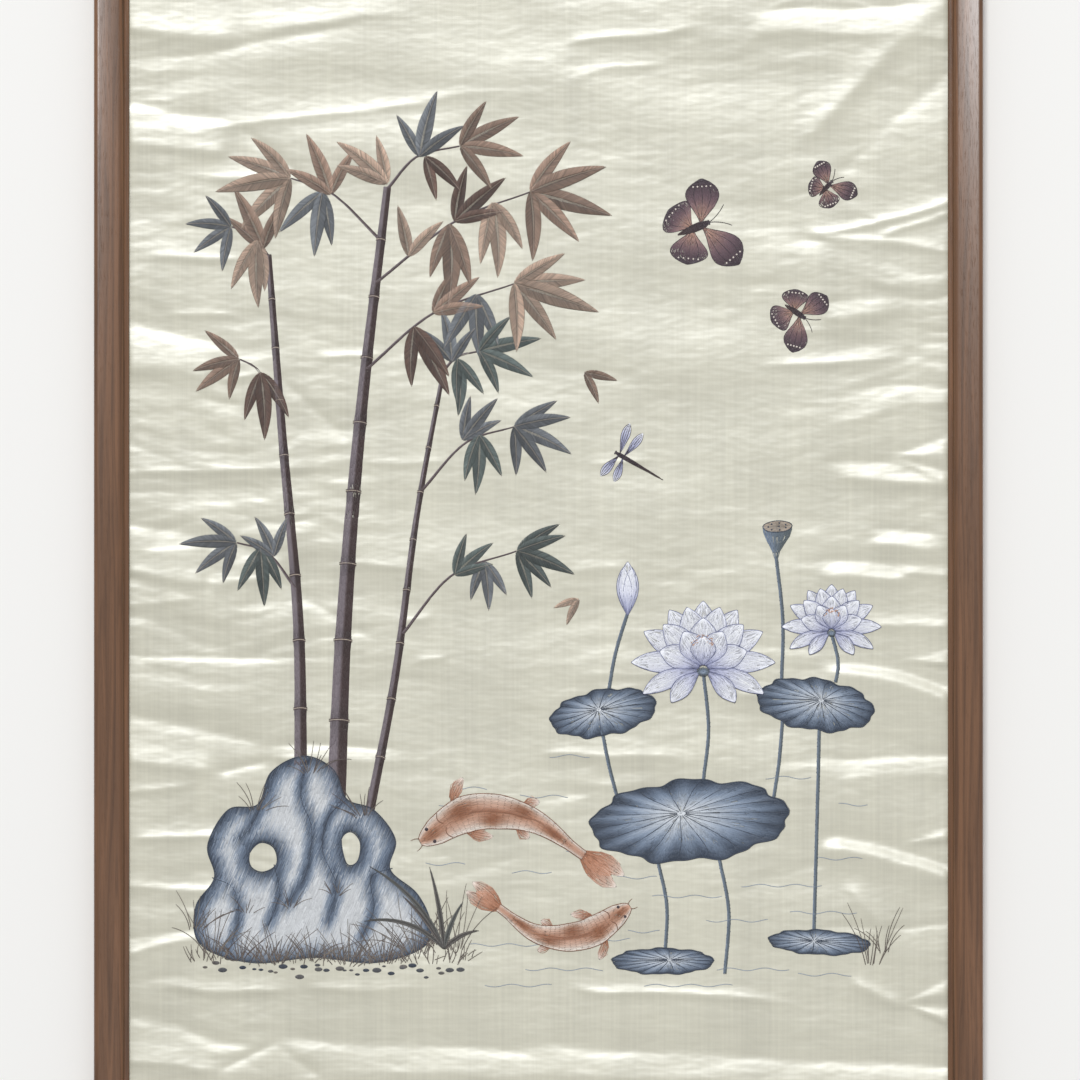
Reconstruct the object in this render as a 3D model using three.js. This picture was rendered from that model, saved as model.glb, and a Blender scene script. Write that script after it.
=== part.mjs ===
// A silk embroidery stretched on a strainer and framed in plain moulding, lying on its back.
// Millimetres. The origin is at the centre of the frame's back face.
// +X is the picture's right, +Y its top and +Z points out of its face.

import * as THREE from "three";

// Sight opening, the cloth that shows inside the frame
const SIGHT_WIDTH = 606;
const SIGHT_HEIGHT = 812;

// Frame moulding, measured outwards from the sight edge and up from the back
const RAIL_WIDTH = 26;
const RAIL_DEPTH = 24;
const RABBET_WIDTH = 8;
const LIP_UNDERSIDE = 17.4;
const LIP_TOP = 19.6;
const LIP_ROUND = 1.2;
const LIP_STEP = 3.6;
const COVE_WIDTH = 4.4;
const OUTER_ROUND = 4;

// Strainer bar inside the rabbet, with a raised bead under the cloth's margin
const STRAINER_WIDTH = 21;
const STRAINER_BACK = 1;
const STRAINER_FACE = 11.5;
const BEAD_TOP = 13.5;
const BEAD_WIDTH = 3.2;
const BEAD_SLOPE = 1.6;

// Gap between pieces that touch
const SEAT_GAP = 0.3;

// Silk sheet
const SILK_THICKNESS = 1;
const SILK_LAP = 7.2;
const HELD_LAP = 4.4;
const FREE_FROM = -2;
const HIGHEST_FOLD = 2.2;
const DEEPEST_FOLD = -1.6;
const FINEST_HALF_WIDTH = 7.5;
const SILK_COLUMNS = 24;
const SILK_ROWS = 96;
const COLUMN_CROWDING = 0.28;

const MITRE_SETBACK = SEAT_GAP / Math.SQRT2;
const SILK_MIDDLE = BEAD_TOP + SEAT_GAP + SILK_THICKNESS / 2;

// Main folds of the silk, from and to in millimetres from the sight opening's centre.
// rise is the crest's height, below zero in a trough. above and below are the half widths
// on the fold's two sides. bow lifts its middle. start and end are the shares of its length
// over which it fades in and out, 0 where it runs on under the frame.
const FOLDS = [
  { name: "top left ridge", from: [-306, 379], to: [-217, 372],
    rise: 1.6, above: 12, below: 7, bow: 0, start: 0, end: 0.25 },
  { name: "top left ridge climbs", from: [-232, 372], to: [-80, 394],
    rise: 1.2, above: 12, below: 8, bow: 0, start: 0.3, end: 0.4 },
  { name: "top left trough", from: [-306, 354], to: [-103, 388],
    rise: -1.0, above: 9, below: 9, bow: -2, start: 0, end: 0.35 },
  { name: "top right ridge", from: [153, 377], to: [309, 371],
    rise: 1.7, above: 13, below: 4.5, bow: 1, start: 0.15, end: 0 },
  { name: "top right long slope", from: [188, 287], to: [306, 404],
    rise: 1.8, above: 14, below: 11, bow: 2, start: 0.25, end: 0 },
  { name: "top right long trough", from: [213, 264], to: [308, 348],
    rise: -1.2, above: 11, below: 9, bow: 0, start: 0.3, end: 0 },
  { name: "left first trough", from: [-306, 326], to: [-225, 308],
    rise: -1.2, above: 14, below: 7, bow: 0, start: 0, end: 0.3 },
  { name: "left first ridge", from: [-306, 296], to: [-225, 287],
    rise: 1.8, above: 17, below: 6, bow: 0, start: 0, end: 0.2 },
  { name: "left second trough", from: [-306, 161], to: [-210, 139],
    rise: -0.9, above: 10, below: 7, bow: 0, start: 0, end: 0.4 },
  { name: "left second ridge", from: [-306, 130], to: [-237, 120],
    rise: 1.6, above: 16, below: 6, bow: 0, start: 0, end: 0.2 },
  { name: "left third ridge", from: [-306, 50], to: [-136, 53],
    rise: 1.3, above: 6, below: 5, bow: 1, start: 0, end: 0.35 },
  { name: "left fourth trough", from: [-306, 13], to: [-184, -12],
    rise: -0.9, above: 10, below: 7, bow: 0, start: 0, end: 0.3 },
  { name: "left fourth ridge", from: [-306, -24], to: [-243, -33],
    rise: 1.8, above: 16, below: 6, bow: 0, start: 0, end: 0.2 },
  { name: "left fifth trough", from: [-306, -130], to: [-200, -151],
    rise: -1.3, above: 10, below: 6, bow: 0, start: 0, end: 0.2 },
  { name: "left fifth trough runs on", from: [-214, -151], to: [-84, -154],
    rise: -0.9, above: 6, below: 5, bow: 0, start: 0.3, end: 0.4 },
  { name: "left sixth ridge", from: [-306, -163], to: [-236, -173],
    rise: 1.6, above: 12, below: 6, bow: 0, start: 0, end: 0.2 },
  { name: "left seventh ridge", from: [-306, -223], to: [-166, -219],
    rise: 1.1, above: 5, below: 4, bow: 0, start: 0.1, end: 0.3 },
  { name: "left eighth ridge", from: [-306, -256], to: [-173, -266],
    rise: 0.9, above: 4, below: 7, bow: 0, start: 0, end: 0.4 },
  { name: "right second swell", from: [220, 168], to: [309, 178],
    rise: 0.7, above: 8, below: 5, bow: 0, start: 0.3, end: 0 },
  { name: "right second trough", from: [220, 111], to: [309, 114],
    rise: -0.7, above: 8, below: 6, bow: 0, start: 0.3, end: 0 },
  { name: "right third band", from: [194, 50], to: [309, 40],
    rise: 1.4, above: 8, below: 5, bow: 3, start: 0.3, end: 0 },
  { name: "right fourth ridge", from: [183, -30], to: [309, -30],
    rise: 1.0, above: 7, below: 6, bow: 0, start: 0.25, end: 0 },
  { name: "right fifth wide trough", from: [16, -78], to: [309, -83],
    rise: -0.8, above: 12, below: 7, bow: 0, start: 0.3, end: 0 },
  { name: "right fifth band", from: [192, -101], to: [309, -124],
    rise: 1.8, above: 9, below: 8, bow: 7, start: 0.3, end: 0 },
  { name: "middle ridge", from: [-3, -159], to: [121, -163],
    rise: 1.2, above: 5, below: 5, bow: 1, start: 0.2, end: 0.3 },
  { name: "right sixth drop", from: [194, -156], to: [309, -157],
    rise: -1.1, above: 13, below: 3, bow: 0, start: 0.25, end: 0 },
  { name: "right sixth ridge", from: [217, -166], to: [309, -167],
    rise: 1.5, above: 4, below: 8, bow: 0, start: 0.25, end: 0 },
  { name: "right seventh band", from: [210, -234], to: [309, -256],
    rise: 1.8, above: 9, below: 8, bow: 8, start: 0.25, end: 0 },
  { name: "right ninth slant", from: [227, -315], to: [291, -375],
    rise: 0.7, above: 8, below: 8, bow: 0, start: 0.4, end: 0.4 },
  { name: "bottom ridge", from: [-291, -333], to: [-173, -334],
    rise: 1.3, above: 8, below: 4, bow: 0, start: 0.35, end: 0.3 },
  { name: "bottom left trough", from: [-306, -353], to: [-208, -376],
    rise: -1.3, above: 10, below: 6, bow: 0, start: 0, end: 0.2 },
  { name: "bottom left ridge", from: [-306, -388], to: [-236, -393],
    rise: 1.4, above: 11, below: 5, bow: 0, start: 0, end: 0.2 },
  { name: "bottom valley, left half", from: [-205, -370], to: [16, -378],
    rise: -1.4, above: 15, below: 7, bow: 0, start: 0.1, end: 0.15 },
  { name: "bottom valley, right half", from: [-6, -376], to: [309, -390],
    rise: -1.6, above: 17, below: 7, bow: 1, start: 0.1, end: 0 },
];

function smoothStep(t) {
  const clamped = Math.min(1, Math.max(0, t));
  return clamped * clamped * (3 - 2 * clamped);
}

// Height that one fold adds at a point of the sheet
function foldHeight(fold, x, y) {
  const [startX, startY] = fold.from;
  const [endX, endY] = fold.to;
  const length = Math.hypot(endX - startX, endY - startY);
  const alongX = (endX - startX) / length;
  const alongY = (endY - startY) / length;
  const along = ((x - startX) * alongX + (y - startY) * alongY) / length;
  const arch = 4 * fold.bow * along * (1 - along);
  const across = (y - startY) * alongX - (x - startX) * alongY - arch;
  const halfWidth = Math.max(across > 0 ? fold.above : fold.below, FINEST_HALF_WIDTH);
  const fadeIn = fold.start > 0 ? smoothStep(along / fold.start) : 1;
  const fadeOut = fold.end > 0 ? smoothStep((1 - along) / fold.end) : 1;
  return fold.rise * fadeIn * fadeOut * Math.exp(-((across / halfWidth) ** 2));
}

// How free the cloth is, from 1 inside the sight edge to 0 where the bead holds it
function freedom(x, y) {
  const beyond = Math.max(Math.abs(x) - SIGHT_WIDTH / 2, Math.abs(y) - SIGHT_HEIGHT / 2);
  return smoothStep((HELD_LAP - beyond) / (HELD_LAP - FREE_FROM));
}

function silkRelief(x, y) {
  let height = 0;
  for (const fold of FOLDS) {
    height += foldHeight(fold, x, y);
  }
  const limit = height > 0 ? HIGHEST_FOLD : -DEEPEST_FOLD;
  return limit * Math.tanh(height / limit) * freedom(x, y);
}

// Places of the sheet's columns or rows: two close to each edge, the rest between them,
// crowded towards the edges by the share given
function stations(sightSize, count, crowding) {
  const half = sightSize / 2;
  const innerHalf = half + FREE_FROM;
  const innerCount = count - 4;
  const places = [-half - SILK_LAP, -half - HELD_LAP];
  for (let i = 0; i <= innerCount; i += 1) {
    const t = (2 * i) / innerCount - 1;
    places.push(innerHalf * ((1 + crowding) * t - crowding * t ** 3));
  }
  places.push(half + HELD_LAP, half + SILK_LAP);
  return places;
}

function silkSheet() {
  const columns = stations(SIGHT_WIDTH, SILK_COLUMNS, COLUMN_CROWDING);
  const rows = stations(SIGHT_HEIGHT, SILK_ROWS, 0);
  const sheet = new THREE.BoxGeometry(1, 1, 1, SILK_COLUMNS, SILK_ROWS, 1);
  const position = sheet.attributes.position;
  for (let i = 0; i < position.count; i += 1) {
    const x = columns[Math.round((position.getX(i) + 0.5) * SILK_COLUMNS)];
    const y = rows[Math.round((position.getY(i) + 0.5) * SILK_ROWS)];
    const face = position.getZ(i) * SILK_THICKNESS;
    position.setXYZ(i, x, y, SILK_MIDDLE + face + silkRelief(x, y));
  }
  return sheet;
}

// Section of the moulding: x outwards from the sight edge, y up from the back
function railSection() {
  const section = new THREE.Shape();
  const coveEnd = LIP_STEP + COVE_WIDTH;
  section.moveTo(RABBET_WIDTH, 0);
  section.lineTo(RAIL_WIDTH, 0);
  section.lineTo(RAIL_WIDTH, RAIL_DEPTH - OUTER_ROUND);
  section.absarc(RAIL_WIDTH - OUTER_ROUND, RAIL_DEPTH - OUTER_ROUND, OUTER_ROUND, 0, Math.PI / 2);
  section.lineTo(coveEnd, RAIL_DEPTH);
  section.quadraticCurveTo(LIP_STEP, RAIL_DEPTH, LIP_STEP, LIP_TOP);
  section.lineTo(LIP_ROUND, LIP_TOP);
  section.absarc(LIP_ROUND, LIP_TOP - LIP_ROUND, LIP_ROUND, Math.PI / 2, Math.PI);
  section.lineTo(0, LIP_UNDERSIDE);
  section.lineTo(RABBET_WIDTH, LIP_UNDERSIDE);
  section.closePath();
  return section;
}

// Section of the strainer bar, in the same axes as the moulding's
function strainerSection() {
  const outer = RABBET_WIDTH - SEAT_GAP;
  const inner = outer - STRAINER_WIDTH;
  const beadInner = outer - BEAD_WIDTH;
  const section = new THREE.Shape();
  section.moveTo(inner, STRAINER_BACK);
  section.lineTo(outer, STRAINER_BACK);
  section.lineTo(outer, BEAD_TOP);
  section.lineTo(beadInner, BEAD_TOP);
  section.lineTo(beadInner - BEAD_SLOPE, STRAINER_FACE);
  section.lineTo(inner, STRAINER_FACE);
  section.closePath();
  return section;
}

// A bar along X with its section outside y = halfAcross, its ends cut to 45 degree mitres
// round an opening that reaches halfAlong each way
function mitredBar(section, halfAlong, halfAcross) {
  const bar = new THREE.ExtrudeGeometry(section, { depth: 1, bevelEnabled: false, curveSegments: 6 });
  const position = bar.attributes.position;
  for (let i = 0; i < position.count; i += 1) {
    const outwards = position.getX(i);
    const up = position.getY(i);
    const side = position.getZ(i) > 0.5 ? 1 : -1;
    const end = halfAlong + outwards - MITRE_SETBACK;
    position.setXYZ(i, side * end, halfAcross + outwards, up);
  }
  return bar;
}

function piece(name, geometry, material) {
  const mesh = new THREE.Mesh(geometry, material);
  mesh.name = name;
  return mesh;
}

// Four mitred bars round the sight opening
function fourBars(kind, section, material) {
  const halfWidth = SIGHT_WIDTH / 2;
  const halfHeight = SIGHT_HEIGHT / 2;
  const sides = [
    { side: "top", turn: 0, halfAlong: halfWidth, halfAcross: halfHeight },
    { side: "left", turn: Math.PI / 2, halfAlong: halfHeight, halfAcross: halfWidth },
    { side: "bottom", turn: Math.PI, halfAlong: halfWidth, halfAcross: halfHeight },
    { side: "right", turn: -Math.PI / 2, halfAlong: halfHeight, halfAcross: halfWidth },
  ];
  return sides.map(({ side, turn, halfAlong, halfAcross }) => {
    const bar = piece(`${kind}_${side}`, mitredBar(section, halfAlong, halfAcross), material.clone());
    bar.rotation.z = turn;
    return bar;
  });
}

const frameWood = new THREE.MeshStandardMaterial({ color: 0x6a4a33, roughness: 0.45, metalness: 0 });
const strainerWood = new THREE.MeshStandardMaterial({ color: 0xc9ab7c, roughness: 0.75, metalness: 0 });
const silk = new THREE.MeshStandardMaterial({ color: 0xdcdac8, roughness: 0.35, metalness: 0 });

const embroidery = new THREE.Group();
embroidery.add(...fourBars("frame", railSection(), frameWood));
embroidery.add(...fourBars("strainer", strainerSection(), strainerWood));
embroidery.add(piece("silk", silkSheet(), silk));

export default embroidery;
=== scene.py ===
"""A silk embroidery on ivory satin, stretched on a strainer and framed in plain wood, lying on its back.

Drawing coordinates of the cloth and of the stitches are millimetres from the centre of the sight opening,
x to the picture's right and y to its top. Everything that reaches a mesh is in metres.
"""

import functools
import math

import bmesh
import bpy
import numpy as np
from bpy.props import FloatProperty, FloatVectorProperty, PointerProperty
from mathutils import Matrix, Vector


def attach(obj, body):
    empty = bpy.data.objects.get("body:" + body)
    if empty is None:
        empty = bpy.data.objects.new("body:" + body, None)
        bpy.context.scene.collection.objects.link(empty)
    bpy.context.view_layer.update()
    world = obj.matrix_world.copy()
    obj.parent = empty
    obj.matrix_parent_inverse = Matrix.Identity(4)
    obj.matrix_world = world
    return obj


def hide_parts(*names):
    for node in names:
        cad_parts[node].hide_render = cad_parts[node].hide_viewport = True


bl_info = {
    "name": "Framed Silk Embroidery",
    "version": (1, 0, 0),
    "blender": (4, 5, 0),
    "location": "View3D > Sidebar > Embroidery",
    "description": "Builds a satin cloth with raised silk stitches in a plain wood frame",
    "category": "Object",
}

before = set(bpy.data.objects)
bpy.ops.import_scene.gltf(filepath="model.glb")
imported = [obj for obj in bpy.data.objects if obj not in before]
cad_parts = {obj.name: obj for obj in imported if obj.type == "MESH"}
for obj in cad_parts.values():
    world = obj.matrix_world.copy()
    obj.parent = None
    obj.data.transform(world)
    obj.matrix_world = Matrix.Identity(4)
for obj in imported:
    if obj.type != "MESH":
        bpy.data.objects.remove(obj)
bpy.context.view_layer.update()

MM = 0.001

# Sight opening and the sections of frame and strainer, in millimetres
SIGHT_WIDTH = 606
SIGHT_HEIGHT = 812
RAIL_WIDTH = 26
RAIL_DEPTH = 24
RABBET_WIDTH = 8
LIP_UNDERSIDE = 17.4
LIP_TOP = 19.6
LIP_ROUND = 1.2
LIP_STEP = 3.6
COVE_WIDTH = 4.4
OUTER_ROUND = 4
STRAINER_WIDTH = 21
STRAINER_BACK = 1
STRAINER_FACE = 11.5
BEAD_TOP = 13.5
BEAD_WIDTH = 3.2
BEAD_SLOPE = 1.6
SEAT_GAP = 0.3
MITRE_SETBACK = SEAT_GAP / math.sqrt(2)

# Silk sheet, in millimetres
SILK_MIDDLE = 14.3
SILK_LAP = 7.2
HELD_LAP = 4.4
FREE_FROM = -2
HIGHEST_FOLD = 2.3
DEEPEST_FOLD = 1.7
CREST_ROUND = 0.2
FOLD_FALL = 1.5
FAN_START = 0.02
SILK_COLUMNS = 210
SILK_ROWS = 460

# Folds placed one by one: x0, y0, x1, y1 run along the crest, then the rise (below zero in a trough), the
# half widths above and below the crest, the bow of its middle, and the shares of its length that fade in and
# out
FOLDS = [
    ("top left ridge", -306, 379, -217, 372, 1.6, 12, 7, 0, 0, 0.25),
    ("top left ridge climbs", -232, 372, -80, 394, 1.2, 12, 8, 0, 0.3, 0.4),
    ("top left trough", -306, 354, -103, 388, -1.0, 9, 9, -2, 0, 0.35),
    ("left first trough", -306, 326, -225, 308, -1.2, 14, 7, 0, 0, 0.3),
    ("left first ridge", -306, 296, -225, 287, 1.8, 17, 6, 0, 0, 0.2),
    ("left first long crease", -277, 300, 1, 336, 0.6, 5, 4, 0, 0.15, 0.4),
    ("left first slant", -223, 307, -168, 264, -0.9, 4, 4, 0, 0.2, 0.3),
    ("left first facet", -251, 270, -173, 267, 0.9, 6, 3.5, 0, 0.3, 0.3),
    ("left first thin ridge", -295, 210, -214, 208, 0.9, 5, 3.5, 0, 0.2, 0.3),
    ("left first low ridge", -288, 167, -210, 166, 0.8, 5, 4, 0, 0.3, 0.4),
    ("left second trough", -306, 161, -210, 139, -0.9, 10, 7, 0, 0, 0.4),
    ("left second ridge", -306, 130, -237, 120, 1.6, 16, 6, 0, 0, 0.2),
    ("left second ridge climbs", -242, 119, -200, 126, 0.9, 5, 4, 0, 0.3, 0.3),
    ("left second slant", -205, 135, -129, 63, -0.7, 5, 5, 0, 0.3, 0.5),
    ("left second nick", -260, 111, -215, 99, -0.5, 3, 3, 0, 0.3, 0.3),
    ("left third ridge", -306, 50, -136, 53, 1.3, 6, 5, 1, 0, 0.35),
    ("left third soft trough", -306, 36, -177, 37, -0.5, 7, 7, 0, 0, 0.4),
    ("left fourth trough", -306, 13, -184, -12, -0.9, 10, 7, 0, 0, 0.3),
    ("left fourth ridge", -306, -24, -243, -33, 1.8, 16, 6, 0, 0, 0.2),
    ("left fourth ridge climbs", -246, -33, -183, -24, 0.9, 6, 4, 0, 0.3, 0.3),
    ("left fourth thin ridge", -306, -50, -245, -43, 0.8, 4, 4, 0, 0, 0.4),
    ("left fourth slant", -197, -24, -109, -86, -0.7, 6, 6, 0, 0.2, 0.4),
    ("left fourth streak", -160, -19, -82, -21, 0.9, 5, 3.5, 0, 0.3, 0.3),
    ("left fifth line", -306, -87, -154, -87, -0.6, 4, 3, 0, 0, 0.3),
    ("left fifth trough", -306, -130, -200, -151, -1.3, 10, 6, 0, 0, 0.2),
    ("left fifth trough runs on", -214, -151, -84, -154, -0.9, 6, 5, 0, 0.3, 0.4),
    ("left fifth low ridge", -217, -162, -84, -164, 0.7, 5, 6, 0, 0.3, 0.4),
    ("left sixth ridge", -306, -163, -236, -173, 1.6, 12, 6, 0, 0, 0.2),
    ("left sixth crease climbs", -240, -175, -194, -161, -0.8, 4, 4, 0, 0.2, 0.2),
    ("left sixth slant", -197, -161, -153, -202, -0.8, 4, 4, 0, 0.1, 0.4),
    ("left sixth thin ridge", -306, -187, -247, -181, 0.9, 4, 3.5, 0, 0, 0.4),
    ("left seventh ridge", -306, -223, -166, -219, 1.1, 5, 4, 0, 0.1, 0.3),
    ("left eighth ridge", -306, -256, -173, -266, 0.9, 4, 7, 0, 0, 0.4),
    ("left eighth facet", -266, -280, -212, -270, 0.6, 6, 6, 0, 0.3, 0.3),
    ("left ninth soft trough", -306, -295, -221, -285, -0.6, 6, 5, 0, 0, 0.4),
    ("left ninth thin ridge", -306, -307, -243, -293, 0.8, 3.5, 4, 0, 0, 0.4),
    ("bottom ridge", -291, -333, -173, -334, 1.3, 8, 4, 0, 0.35, 0.3),
    ("bottom ridge runs on", -184, -331, -73, -333, 0.8, 5, 4, 0, 0.3, 0.4),
    ("bottom left trough", -306, -353, -208, -376, -1.3, 10, 6, 0, 0, 0.2),
    ("bottom left ridge", -306, -388, -236, -393, 1.4, 11, 5, 0, 0, 0.2),
    ("bottom crease climbs", -239, -392, -191, -372, -0.8, 4, 4, 0, 0.2, 0.2),
    ("bottom slant", -197, -372, -156, -404, -0.7, 5, 5, 0, 0.2, 0.3),
    ("bottom valley left half", -205, -370, 16, -378, -1.4, 15, 7, 0, 0.1, 0.15),
    ("bottom valley right half", -6, -376, 309, -390, -1.6, 17, 7, 1, 0.1, 0),
    ("bottom swell", -188, -393, 309, -404, 0.9, 10, 11, 0, 0.2, 0),
    ("top streak", 16, 369, 129, 381, 1.0, 5, 3.5, -2, 0.2, 0.3),
    ("top right ridge", 153, 377, 309, 371, 1.7, 13, 4.5, 1, 0.15, 0),
    ("top right trough", 146, 390, 294, 398, -0.8, 6, 6, 0, 0.3, 0.2),
    ("top right long slope", 188, 287, 306, 404, 1.8, 14, 11, 2, 0.25, 0),
    ("top right long trough", 213, 264, 308, 348, -0.9, 12, 9, 0, 0.3, 0),
    ("top right facet", 228, 281, 284, 322, 0.6, 9, 9, 0, 0.3, 0.4),
    ("top middle line", 13, 341, 114, 359, 0.5, 4, 3.5, 0, 0.3, 0.4),
    ("right first streak", 192, 224, 309, 250, 1.0, 4, 3.5, -3, 0.15, 0),
    ("right first second streak", 250, 223, 309, 242, 0.9, 4, 3.5, 0, 0.2, 0),
    ("right first low streak", 194, 224, 309, 213, 0.9, 3.5, 5, 2, 0.2, 0),
    ("right second swell above", 208, 177, 266, 181, -0.7, 8, 7, 0, 0.3, 0.35),
    ("right second swell", 205, 161, 268, 168, 1.4, 9, 7, 3, 0.3, 0.35),
    ("right second low swell", 175, 152, 246, 159, 0.6, 6, 5, 0, 0.3, 0.3),
    ("right second ridge", 160, 129, 275, 135, 1.0, 5, 4, 0, 0.3, 0.3),
    ("right second trough", 220, 111, 309, 114, -0.7, 8, 6, 0, 0.3, 0),
    ("right third soft ridge", 205, 84, 309, 105, 0.6, 7, 6, 0, 0.3, 0),
    ("right third low trough", 205, 59, 274, 58, -0.8, 8, 7, 0, 0.35, 0.3),
    ("right third low ridge", 212, 46, 309, 41, 2.0, 8, 8, 0, 0.35, 0),
    ("right fourth trough", 241, 7, 306, 5, -1.0, 10, 6, 0, 0.3, 0.35),
    ("right fourth ridge", 243, -4, 304, -6, 1.6, 6, 8, 0, 0.25, 0.35),
    ("right fourth low trough", 203, -17, 282, -18, -0.9, 8, 6, 0, 0.25, 0.3),
    ("right fourth low ridge", 203, -28, 284, -30, 1.7, 6, 8, 0, 0.25, 0.3),
    ("right fourth rim ridge", 264, -24, 309, -25, 1.3, 6, 6, 0, 0.3, 0),
    ("right fifth ridge", 220, -65, 309, -64, 1.2, 8, 7, 0, 0.3, 0),
    ("right fifth wide trough", 16, -78, 260, -83, -0.6, 12, 7, 0, 0.3, 0.3),
    ("right fifth band above", 200, -90, 309, -111, -1.2, 12, 7, 5, 0.3, 0),
    ("right fifth band", 200, -98, 309, -121, 2.1, 7, 11, 5, 0.3, 0),
    ("middle swell", 13, -101, 121, -99, 0.7, 7, 7, 0, 0.3, 0.3),
    ("middle streak", 140, -116, 214, -116, 1.2, 4.5, 3.5, 0, 0.3, 0.3),
    ("middle ridge", -3, -159, 121, -163, 1.2, 5, 5, 1, 0.2, 0.3),
    ("right sixth drop", 194, -160, 309, -161, -1.1, 12, 4, 0, 0.3, 0),
    ("right sixth swell", 217, -174, 309, -175, 0.6, 8, 9, 0, 0.25, 0),
    ("middle low swell", 20, -182, 93, -182, 0.8, 7, 7, 0, 0.3, 0.3),
    ("right seventh band above", 205, -219, 309, -244, -1.3, 12, 7, 5, 0.15, 0),
    ("right seventh band", 205, -228, 309, -254, 2.3, 7, 11, 5, 0.15, 0),
    ("right eighth slope", 226, -252, 266, -294, 1.7, 7, 10, 0, 0.3, 0.3),
    ("right eighth line", 194, -286, 309, -286, -0.6, 6, 4, 0, 0.3, 0),
    ("right ninth slant", 226, -325, 277, -347, 1.7, 6, 9, 0, 0.3, 0.3),
    ("bottom middle streak", 17, -333, 205, -344, 1.2, 4.5, 3.5, 1, 0.15, 0.3),
    ("upper middle streak", -168, 136, -111, 136, 0.7, 4, 3.5, 0, 0.3, 0.3),
    ("upper middle short streak", -106, 132, -68, 132, 0.6, 4, 3, 0, 0.3, 0.3),
    ("middle left streak", -140, 57, -62, 58, 0.5, 4, 3.5, 0, 0.3, 0.3),
    ("middle right streak", 34, 57, 86, 59, 0.6, 4, 3, 0, 0.3, 0.3),
    ("low middle left streak", -108, -62, -74, -56, 0.6, 4, 4, 0, 0.3, 0.3),
    ("low middle right streak", 16, -24, 75, -21, 0.6, 5, 4, 0, 0.3, 0.3),
    ("low middle short streak", -95, -90, -64, -87, 0.6, 4, 3, 0, 0.3, 0.3),
]

# Fans: flat-sided creases that open from a point towards the frame. Their point, the end of their crest, and
# the rise and the widths above and below it at that end
FANS = [
    ("right third upper fan", 264, 62.5, 303, 62.5, 2.6, 14, 12),
    ("right third lower fan", 262, 61, 303, 43, 1.2, 8, 6),
    ("right fifth fan", 267, -90, 303, -92, 1.6, 11, 3),
    ("right seventh fan", 265, -227, 303, -221, 1.5, 8, 4),
    ("right ninth upper fan", 269, -343, 303, -335, 2.0, 9, 9),
    ("right ninth lower fan", 266, -343, 303, -356, 2.0, 9, 5),
]

# Loose ripples: the width and height of a ripple and its share of the rise
RIPPLE_SIZES = [
    (72, 19, 0.9),
    (34, 10, 0.62),
    (15, 5.6, 0.34),
]

# Places where stitching draws the cloth together: centre, reach across and up, and how much it adds
PUCKERS = [
    (-150, 20, 46, 210, 0.5),
    (-160, -240, 100, 60, 0.4),
    (120, -200, 100, 60, 0.35),
    (120, -60, 60, 60, 0.3),
    (-20, -240, 70, 50, 0.3),
]


def srgb(red, green, blue):
    """A screen colour of 0 to 255 as the linear numbers that materials take."""
    return tuple(to_linear(np.array([red, green, blue]) / 255))


def to_linear(colour):
    return np.where(colour <= 0.04045, colour / 12.92, ((colour + 0.055) / 1.055) ** 2.4)


def smooth_step(t):
    t = np.clip(t, 0, 1)
    return t * t * (3 - 2 * t)


def number(name, description, default, **limits):
    return FloatProperty(name=name, description=description, default=default, **limits)


def measure(name, description, metres):
    return number(name, description, metres, unit="LENGTH")


def colour_of(name, description, *screen):
    """The colour of a surface, given as the screen shows it, from 0 to 255."""
    return FloatVectorProperty(
        name=name, description=description, subtype="COLOR", size=3, default=srgb(*screen)
    )


def floss_colour(name, *screen):
    """The colour of a floss, kept as the screen shows it and given from 0 to 255."""
    return FloatVectorProperty(
        name=name, description=f"Floss for the {name.lower()}", subtype="COLOR_GAMMA", size=3, min=0, max=1,
        default=[part / 255 for part in screen],
    )


class ClothSettings(bpy.types.PropertyGroup):
    fold_scale: number("Fold Scale", "Height of the placed folds", 1.12, min=0)
    ripple_rise: measure("Ripple Rise", "Height of the small loose ripples", 0.42 * MM)
    colour: colour_of("Silk", "Colour of the satin", 208, 203, 181)
    crinkle: measure("Crinkle", "Height of the finest crinkles", 0.12 * MM)
    roughness: number("Roughness", "Roughness of the satin", 0.42, min=0, max=1)
    lustre: number("Lustre", "Mirror share of the satin", 0.06, min=0, max=1)
    ior: number("Gloss", "Refractive index of the satin's shine", 1.75, min=1, max=3)


class FrameSettings(bpy.types.PropertyGroup):
    edge_round: measure("Edge Round", "Softened width of the sharp edges", 0.5 * MM)
    wood: colour_of("Frame Wood", "Main colour of the moulding", 112, 78, 53)
    softwood: colour_of("Strainer Wood", "Main colour of the strainer", 206, 178, 135)


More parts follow.
